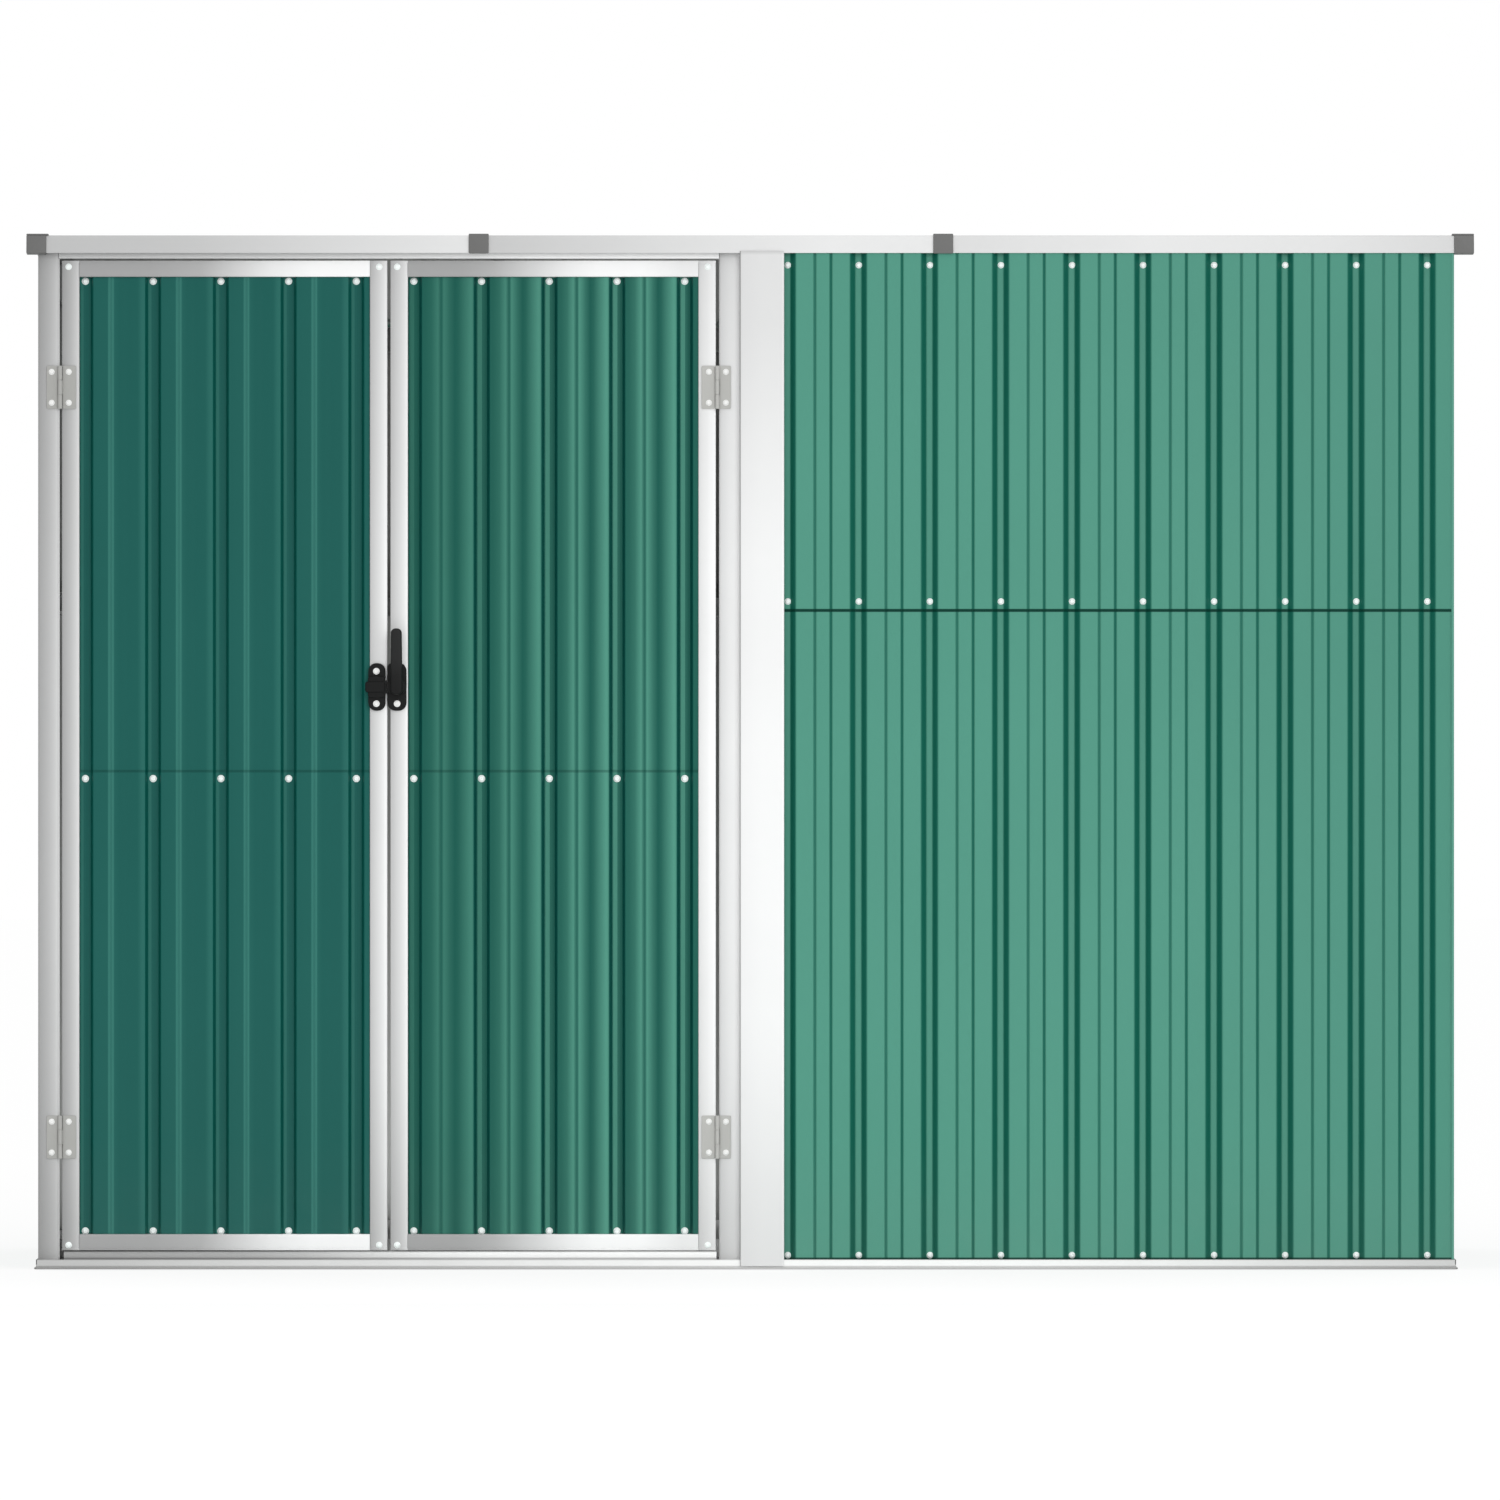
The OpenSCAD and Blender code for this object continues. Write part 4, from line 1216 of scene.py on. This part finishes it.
pin_end = hinge_half_h - chamfer
pin = [(pin_tip, -hinge_half_h), (pin_r, -pin_end), (pin_r, pin_end), (pin_tip, hinge_half_h)]
post_knuckles = [(-hinge_half_h, -post_knuckle), (post_knuckle, hinge_half_h)]
fixed = bmesh.new()
for body, (x, s) in hinge_xs.items():
    moving = bmesh.new()
    for z in hinge_zs:
        hinge_half(fixed, x, z, -s, post_reach, post_knuckles)
        lathe(fixed, pin, pin_at(x, z))
        hinge_half(moving, x, z, s, leaf_reach, [(-leaf_knuckle, leaf_knuckle)])
    leaves = body.split("_")[0] + "_hinge_leaves"
    finished(leaves + "_stamped", moving, body, [leaves], hinge_zinc)
finished("hinge_post_leaves_stamped", fixed, "shed", ["hinge_post_leaves"], hinge_zinc)

# Latch. Black moulded nylon: a keeper with a raised housing on the left leaf, a plate with a turning
# lever on the right leaf, each screwed to its stile; the lever's tongue ends beside the keeper's snout.

latch_black = paint("latch_black", (0.008, 0.0083, 0.0083), 0.42, grain=1400.0, bump=0.15, shine=0.13)
# Painted shade: the lever and its hub darken towards the lower end
lever_black = paint(
    "lever_black",
    (0.018, 0.0185, 0.0185),
    0.42,
    along=[("Z", 0.89, 0.99, [(0.0, 0.45), (0.3, 0.55), (0.6, 1.0)])],
    grain=1400.0,
    bump=0.15,
    shine=0.13,
)
latch_x, _, latch_z = pivots["latch_lever"]
keeper_x = latch_x - 0.0333
plate_half = 0.037
plate_out = 0.003
plate_rim = 0.0009


def front_of(x):
    """Place on the front of the leaves at the latch's height."""
    return lambda a, b, d: Vector((x + a, face - 0.0001 - d, latch_z + b))


# Plate of the keeper, then its lug, its housing and its snout
keeper = bmesh.new()
for outline, low, high, rim in (
    (block(-0.0125, 0.0143, -plate_half, plate_half, 0.0138), 0.0, plate_out, plate_rim),
    (block(-0.0172, 0.0145, -0.0085, 0.0085, 0.004), 0.0, 0.010, 0.0026),
    (block(-0.0130, 0.0143, -0.0165, 0.0165, 0.004), 0.0, 0.0075, 0.002),
    (block(0.0105, 0.0163, -0.0105, 0.0105, 0.0015), plate_out, 0.009, 0.0012),
):
    slab(keeper, outline, low, high, rim, front_of(keeper_x))
finished("latch_keeper_moulded", keeper, "left_door", ["latch_keeper"], latch_black)

plate = bmesh.new()
plate_corners = [
    (-0.0162, -plate_half),
    (0.0137, -plate_half),
    (0.0137, 0.0285),
    (0.008, plate_half),
    (-0.0122, plate_half),
    (-0.0162, 0.033),
]
slab(plate, bends(plate_corners, 0.0125, closed=True), 0.0, plate_out, plate_rim, front_of(latch_x))
lathe(plate, [(0.004, 0.0), (0.004, 0.0125), (0.0035, 0.013)], front_of(latch_x))
finished("latch_plate_moulded", plate, "right_door", ["latch_plate"], latch_black)

# Lever, then its hub and its tongue
handle = bmesh.new()
lever_corners = [
    (-0.0108, -0.012),
    (0.0078, -0.012),
    (0.0073, 0.03),
    (0.0065, 0.091),
    (-0.0104, 0.091),
    (-0.0108, 0.03),
]
for outline, low, high, rim in (
    (bends(lever_corners, 0.0071, closed=True), 0.0135, 0.0239, 0.0042),
    (block(-0.0123, 0.0123, -0.0123, 0.0123, 0.012), 0.0034, 0.0155, 0.0025),
    (block(-0.0158, -0.006, -0.0095, 0.0095, 0.006), 0.005, 0.011, 0.0014),
):
    slab(handle, outline, low, high, rim, front_of(latch_x))
finished("latch_handle_moulded", handle, "latch", ["latch_handle"], lever_black)

# Screws. White-coated pan-head screws with a washer and a cross recess hold the sheets in the
# valleys, the corners of the leaf frames, the hinges and the latch.


def screw_tree():
    """One head on each point of the seed, turned to the surface and spun at random."""
    tree = bpy.data.node_groups.new("Screws", "GeometryNodeTree")
    for name, kind in (
        ("Geometry", "NodeSocketGeometry"),
        ("Head", "NodeSocketObject"),
        ("Turn", "NodeSocketVector"),
        ("Size", "NodeSocketFloat"),
        ("Material", "NodeSocketMaterial"),
    ):
        tree.interface.new_socket(name, in_out="INPUT", socket_type=kind)
    tree.interface.new_socket("Geometry", in_out="OUTPUT", socket_type="NodeSocketGeometry")
    inp = add(tree, "NodeGroupInput").outputs
    out = add(tree, "NodeGroupOutput")
    head = add(tree, "GeometryNodeObjectInfo", None, Object=inp["Head"]).outputs["Geometry"]
    heads = add(
        tree,
        "GeometryNodeInstanceOnPoints",
        None,
        Points=inp["Geometry"],
        Instance=head,
        Rotation=inp["Turn"],
        Scale=add(tree, "ShaderNodeCombineXYZ", None, inp["Size"], inp["Size"], inp["Size"]).outputs[0],
    )
    spin = add(tree, "FunctionNodeRandomValue", {"data_type": "FLOAT"})
    spin.inputs["Max"].default_value = math.pi
    spin.inputs["Seed"].default_value = 7
    spun = add(
        tree,
        "GeometryNodeRotateInstances",
        None,
        Instances=heads.outputs[0],
        Rotation=add(tree, "ShaderNodeCombineXYZ", None, 0.0, 0.0, spin.outputs["Value"]).outputs[0],
        Local_Space=True,
    )
    real = add(tree, "GeometryNodeRealizeInstances", None, spun.outputs[0])
    skin = add(tree, "GeometryNodeSetMaterial", None, Geometry=real.outputs[0], Material=inp["Material"])
    tree.links.new(skin.outputs[0], out.inputs[0])
    return tree


# Radius and height of the rings in millimetres, from the washer to the recess, whose rings have lobes
head_bm = bmesh.new()
head_sides = 24
millimetre = 0.001
rings = []
for r, z, lobed in (
    (6.0, 0.0, False),
    (6.0, 0.5, False),
    (5.4, 1.0, False),
    (4.7, 1.1, False),
    (4.5, 1.9, False),
    (3.7, 2.7, False),
    (2.7, 3.0, False),
    (1.6, 3.0, True),
    (1.2, 2.7, True),
):
    ring = []
    for k in range(head_sides):
        a = 2 * math.pi * k / head_sides
        w = r * (0.35 + 0.65 * (0.5 + 0.5 * math.cos(4 * a)) ** 2) if lobed else r
        spot = Vector((w * math.cos(a), w * math.sin(a), z))
        ring.append(head_bm.verts.new(millimetre * spot))
    rings.append(ring)
for r0, r1 in zip(rings, rings[1:]):
    band(head_bm, r0, r1)
head_bm.faces.new(rings[0][::-1])
head_bm.faces.new(rings[-1])
bmesh.ops.recalc_face_normals(head_bm, faces=head_bm.faces)
head_mesh = bpy.data.meshes.new("screw_head")
head_bm.to_mesh(head_mesh)
head_bm.free()
screw_head = bpy.data.objects.new("screw_head", head_mesh)
bpy.context.scene.collection.objects.link(screw_head)
screws_made = screw_tree()
screw_white = paint("screw_white", (0.93, 0.985, 0.97), 0.25, grain=2000.0, shine=0.5)
screw_bright = paint("screw_bright", (0.86, 0.865, 0.85), 0.25, grain=2000.0, shine=0.5)
head_turns = {
    "front": (math.pi / 2, 0, 0),
    "back": (-math.pi / 2, 0, 0),
    "left": (0, -math.pi / 2, 0),
    "right": (0, math.pi / 2, 0),
    "roof": (-slope, 0, 0),
}


def screws(name, side, body, points, size, mat=screw_white):
    """A row or field of screws on one body."""
    seed = bpy.data.meshes.new(name + "_points")
    seed.from_pydata([tuple(p) for p in points], [], [])
    values = {"Head": screw_head, "Turn": head_turns[side], "Size": size, "Material": mat}
    finished(name, grown(name, screws_made, values, seed), body)


def valley_face(node, side):
    """Outer face of the valleys of a sheet."""
    lo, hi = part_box(node)
    if side in ("front", "left"):
        return (hi.y if side == "front" else hi.x) - sheet_steel
    return (lo.y if side == "back" else lo.x) + sheet_steel


# Sizes of the heads beside a head of 12 mm, and heights of the rows
wall_head = 0.84
leaf_head = 0.94
corner_head = 0.85
hinge_head = 0.79
latch_head = 0.86
lap_row = lap_z + 0.014
foot_row = 0.024
below_roof = 0.03
front_row = 10
leaf_row = 5
leaf_first = 0.0087
rows = [(0.0215, "lower"), (lap_row, "upper"), (1.561, "upper")]
first = strip_hi.x + 0.0057
points = [
    (first + k * wall_pitch, valley_face(f"front_wall_{tier}_sheet", "front"), z)
    for z, tier in rows
    for k in range(front_row)
]
screws("front_wall_screws", "front", "shed", points, wall_head)
lo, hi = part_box("back_wall_lower_sheet")
rows = [(foot_row, "lower"), (lap_row, "upper"), (roof_line(back) - below_roof, "upper")]
first = (lo.x + hi.x) / 2 - (back_valleys - 1) / 2 * wall_pitch
points = [
    (first + k * wall_pitch, valley_face(f"back_wall_{tier}_sheet", "back"), z)
    for z, tier in rows
    for k in range(back_valleys)
]
screws("back_wall_screws", "back", "shed", points, wall_head)
for side in ("left", "right"):
    lo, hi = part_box(f"{side}_wall_lower_sheet")
    points = []
    for k in range(side_valleys):
        y = (lo.y + hi.y) / 2 + (k - (side_valleys - 1) / 2) * wall_pitch
        for z, tier in ((foot_row, "lower"), (lap_row, "upper"), (roof_line(y) - below_roof, "upper")):
            points.append((valley_face(f"{side}_wall_{tier}_sheet", side), y, z))
    screws(f"{side}_wall_screws", side, "shed", points, wall_head)
points = []
for k in range(roof_valleys):
    x = first_valley + k * wall_pitch
    up = sheet_steel + (roof_lap if 6 <= k <= 12 else 0.0)
    points += [roof @ Vector((x, v, up)) for v in (0.035, trim_back / 2, trim_back - 0.045)]
screws("roof_screws", "roof", "shed", points, wall_head)
for body in ("left_door", "right_door"):
    lo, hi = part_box(body + "_upper_sheet")
    rows = [(1.5365, "upper"), (0.7625, "lower"), (0.0585, "lower")]
    points = [
        (lo.x + leaf_first + k * DOOR["Pitch"], valley_face(f"{body}_{tier}_sheet", "front"), z)
        for z, tier in rows
        for k in range(leaf_row)
    ]
    screws(body + "_screws", "front", body, points, leaf_head)
    lo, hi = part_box(body + "_stiles")
    points = [
        (x, face + 0.0002, z)
        for x in (lo.x + 0.0105, hi.x - 0.0125)
        for z in (lo.z + 0.006, hi.z - 0.0075)
    ]
    screws(body + "_corner_screws", "front", body, points, corner_head)
hinge_hole_x = 0.0132
hinge_hole_z = 0.024
hinge_face = face - 0.0016
for body, (x, s) in hinge_xs.items():
    for owner, sx in (("shed", -s), (body, s)):
        name = f"{body}_hinge_screws_{owner}"
        points = [
            (x + sx * hinge_hole_x, hinge_face, z + d)
            for z in hinge_zs
            for d in (-hinge_hole_z, hinge_hole_z)
        ]
        screws(name, "front", owner, points, hinge_head, screw_bright)
points = [(keeper_x, face - plate_out, latch_z + d) for d in (-0.026, 0.0245)]
screws("keeper_screws", "front", "left_door", points, latch_head, screw_bright)
points = [(latch_x - 0.001, face - plate_out, latch_z - 0.026)]
screws("latch_screw", "front", "right_door", points, latch_head, screw_bright)
bpy.data.objects.remove(screw_head)

# Inner frame. Galvanised posts, rails and rafters behind the sheets, bolted together and seen through
# the open doors; the rolled profiles keep their shape and get a spangled zinc surface.

zinc = paint("zinc", (0.46, 0.47, 0.47), 0.4, grain=140.0, bump=0.1)
zinc.node_tree.nodes["Principled BSDF"].inputs["Metallic"].default_value = 0.6
for name in ("inner_posts", "front_wall_top_rail", "top_rails", "rafters", "mid_rails"):
    node = frame["nodes"][name]
    node.data.materials.clear()
    node.data.materials.append(zinc)

# Camera and light. A long lens square to the front, soft light from the right, a weak light inside
# and one low in front, white surroundings and a white floor that keeps a soft shadow.

view_w = 2.331
cam = bpy.data.cameras.new("camera")
cam.lens = 300.0
cam.sensor_width = 36.0
cam.clip_end = 100.0
camera = bpy.data.objects.new("camera", cam)
camera.location = (-0.0003, -0.44 - view_w * cam.lens / cam.sensor_width, 0.8070)
camera.rotation_euler = (math.radians(90), 0, 0)
bpy.context.scene.collection.objects.link(camera)
bpy.context.scene.camera = camera


def soft_light(name, place, aim, size, power):
    """Rectangular lamp that looks at a point."""
    lamp = bpy.data.lights.new(name, "AREA")
    lamp.shape = "RECTANGLE"
    lamp.size, lamp.size_y = size
    lamp.energy = power
    lamp_obj = bpy.data.objects.new(name, lamp)
    lamp_obj.location = place
    lamp_obj.rotation_euler = (Vector(aim) - Vector(place)).to_track_quat("-Z", "Y").to_euler()
    bpy.context.scene.collection.objects.link(lamp_obj)
    return lamp_obj


soft_light("key", (2.4, -6.2, 3.4), (0.0, -0.4, 0.8), (3.0, 3.0), 90.0)
inside_light = soft_light("inside", (0.0, 0.0, 0.03), (0.0, 0.0, 1.0), (2.0, 0.7), 7.0)
inside_light.visible_camera = False
low_light = soft_light("low", (0.0, -1.6, 0.14), (0.0, 0.0, 0.14), (3.6, 0.22), 3.4)
low_light.visible_camera = False


def seen_directly(tree):
    """1 for rays that show the surroundings to the eye, straight or in a reflection, else 0."""
    path = add(tree, "ShaderNodeLightPath").outputs
    mirrored = maths(tree, "MAXIMUM", path["Is Glossy Ray"], path["Is Transmission Ray"])
    return maths(tree, "MAXIMUM", path["Is Camera Ray"], mirrored)


WHITE = (1.0, 1.0, 1.0, 1.0)
world = bpy.data.worlds.new("world")
bpy.context.scene.world = world
world.use_nodes = True
sky = world.node_tree
sky.nodes.clear()
lit = add(sky, "ShaderNodeBackground", None, Color=WHITE, Strength=0.93)
seen = add(sky, "ShaderNodeBackground", None, Color=WHITE, Strength=1.0)
pick = add(sky, "ShaderNodeMixShader", None, seen_directly(sky), lit.outputs[0], seen.outputs[0])
add(sky, "ShaderNodeOutputWorld", None, pick.outputs[0])

ground_half = 40
ground_z = -0.0006
ground_corners = [
    (ground_half * sx, ground_half * sy, ground_z) for sx, sy in ((-1, -1), (1, -1), (1, 1), (-1, 1))
]
ground_mesh = bpy.data.meshes.new("ground")
ground_mesh.from_pydata(ground_corners, [], [(0, 1, 2, 3)])
ground = bpy.data.objects.new("ground", ground_mesh)
bpy.context.scene.collection.objects.link(ground)
white = bpy.data.materials.new("ground_white")
white.use_nodes = True
floor = white.node_tree
floor.nodes.clear()
matt = add(floor, "ShaderNodeBsdfDiffuse", None, Color=(0.8, 0.8, 0.8, 1.0))
shaded = add(floor, "ShaderNodeBsdfDiffuse", None, Color=(0.224, 0.224, 0.224, 1.0))
glow = add(floor, "ShaderNodeEmission", None, Color=WHITE, Strength=0.785)
shown = add(floor, "ShaderNodeAddShader", None, shaded.outputs[0], glow.outputs[0])
pick = add(floor, "ShaderNodeMixShader", None, seen_directly(floor), matt.outputs[0], shown.outputs[0])
add(floor, "ShaderNodeOutputMaterial", None, pick.outputs[0])
ground_mesh.materials.append(white)

bpy.context.scene.view_settings.view_transform = "Standard"
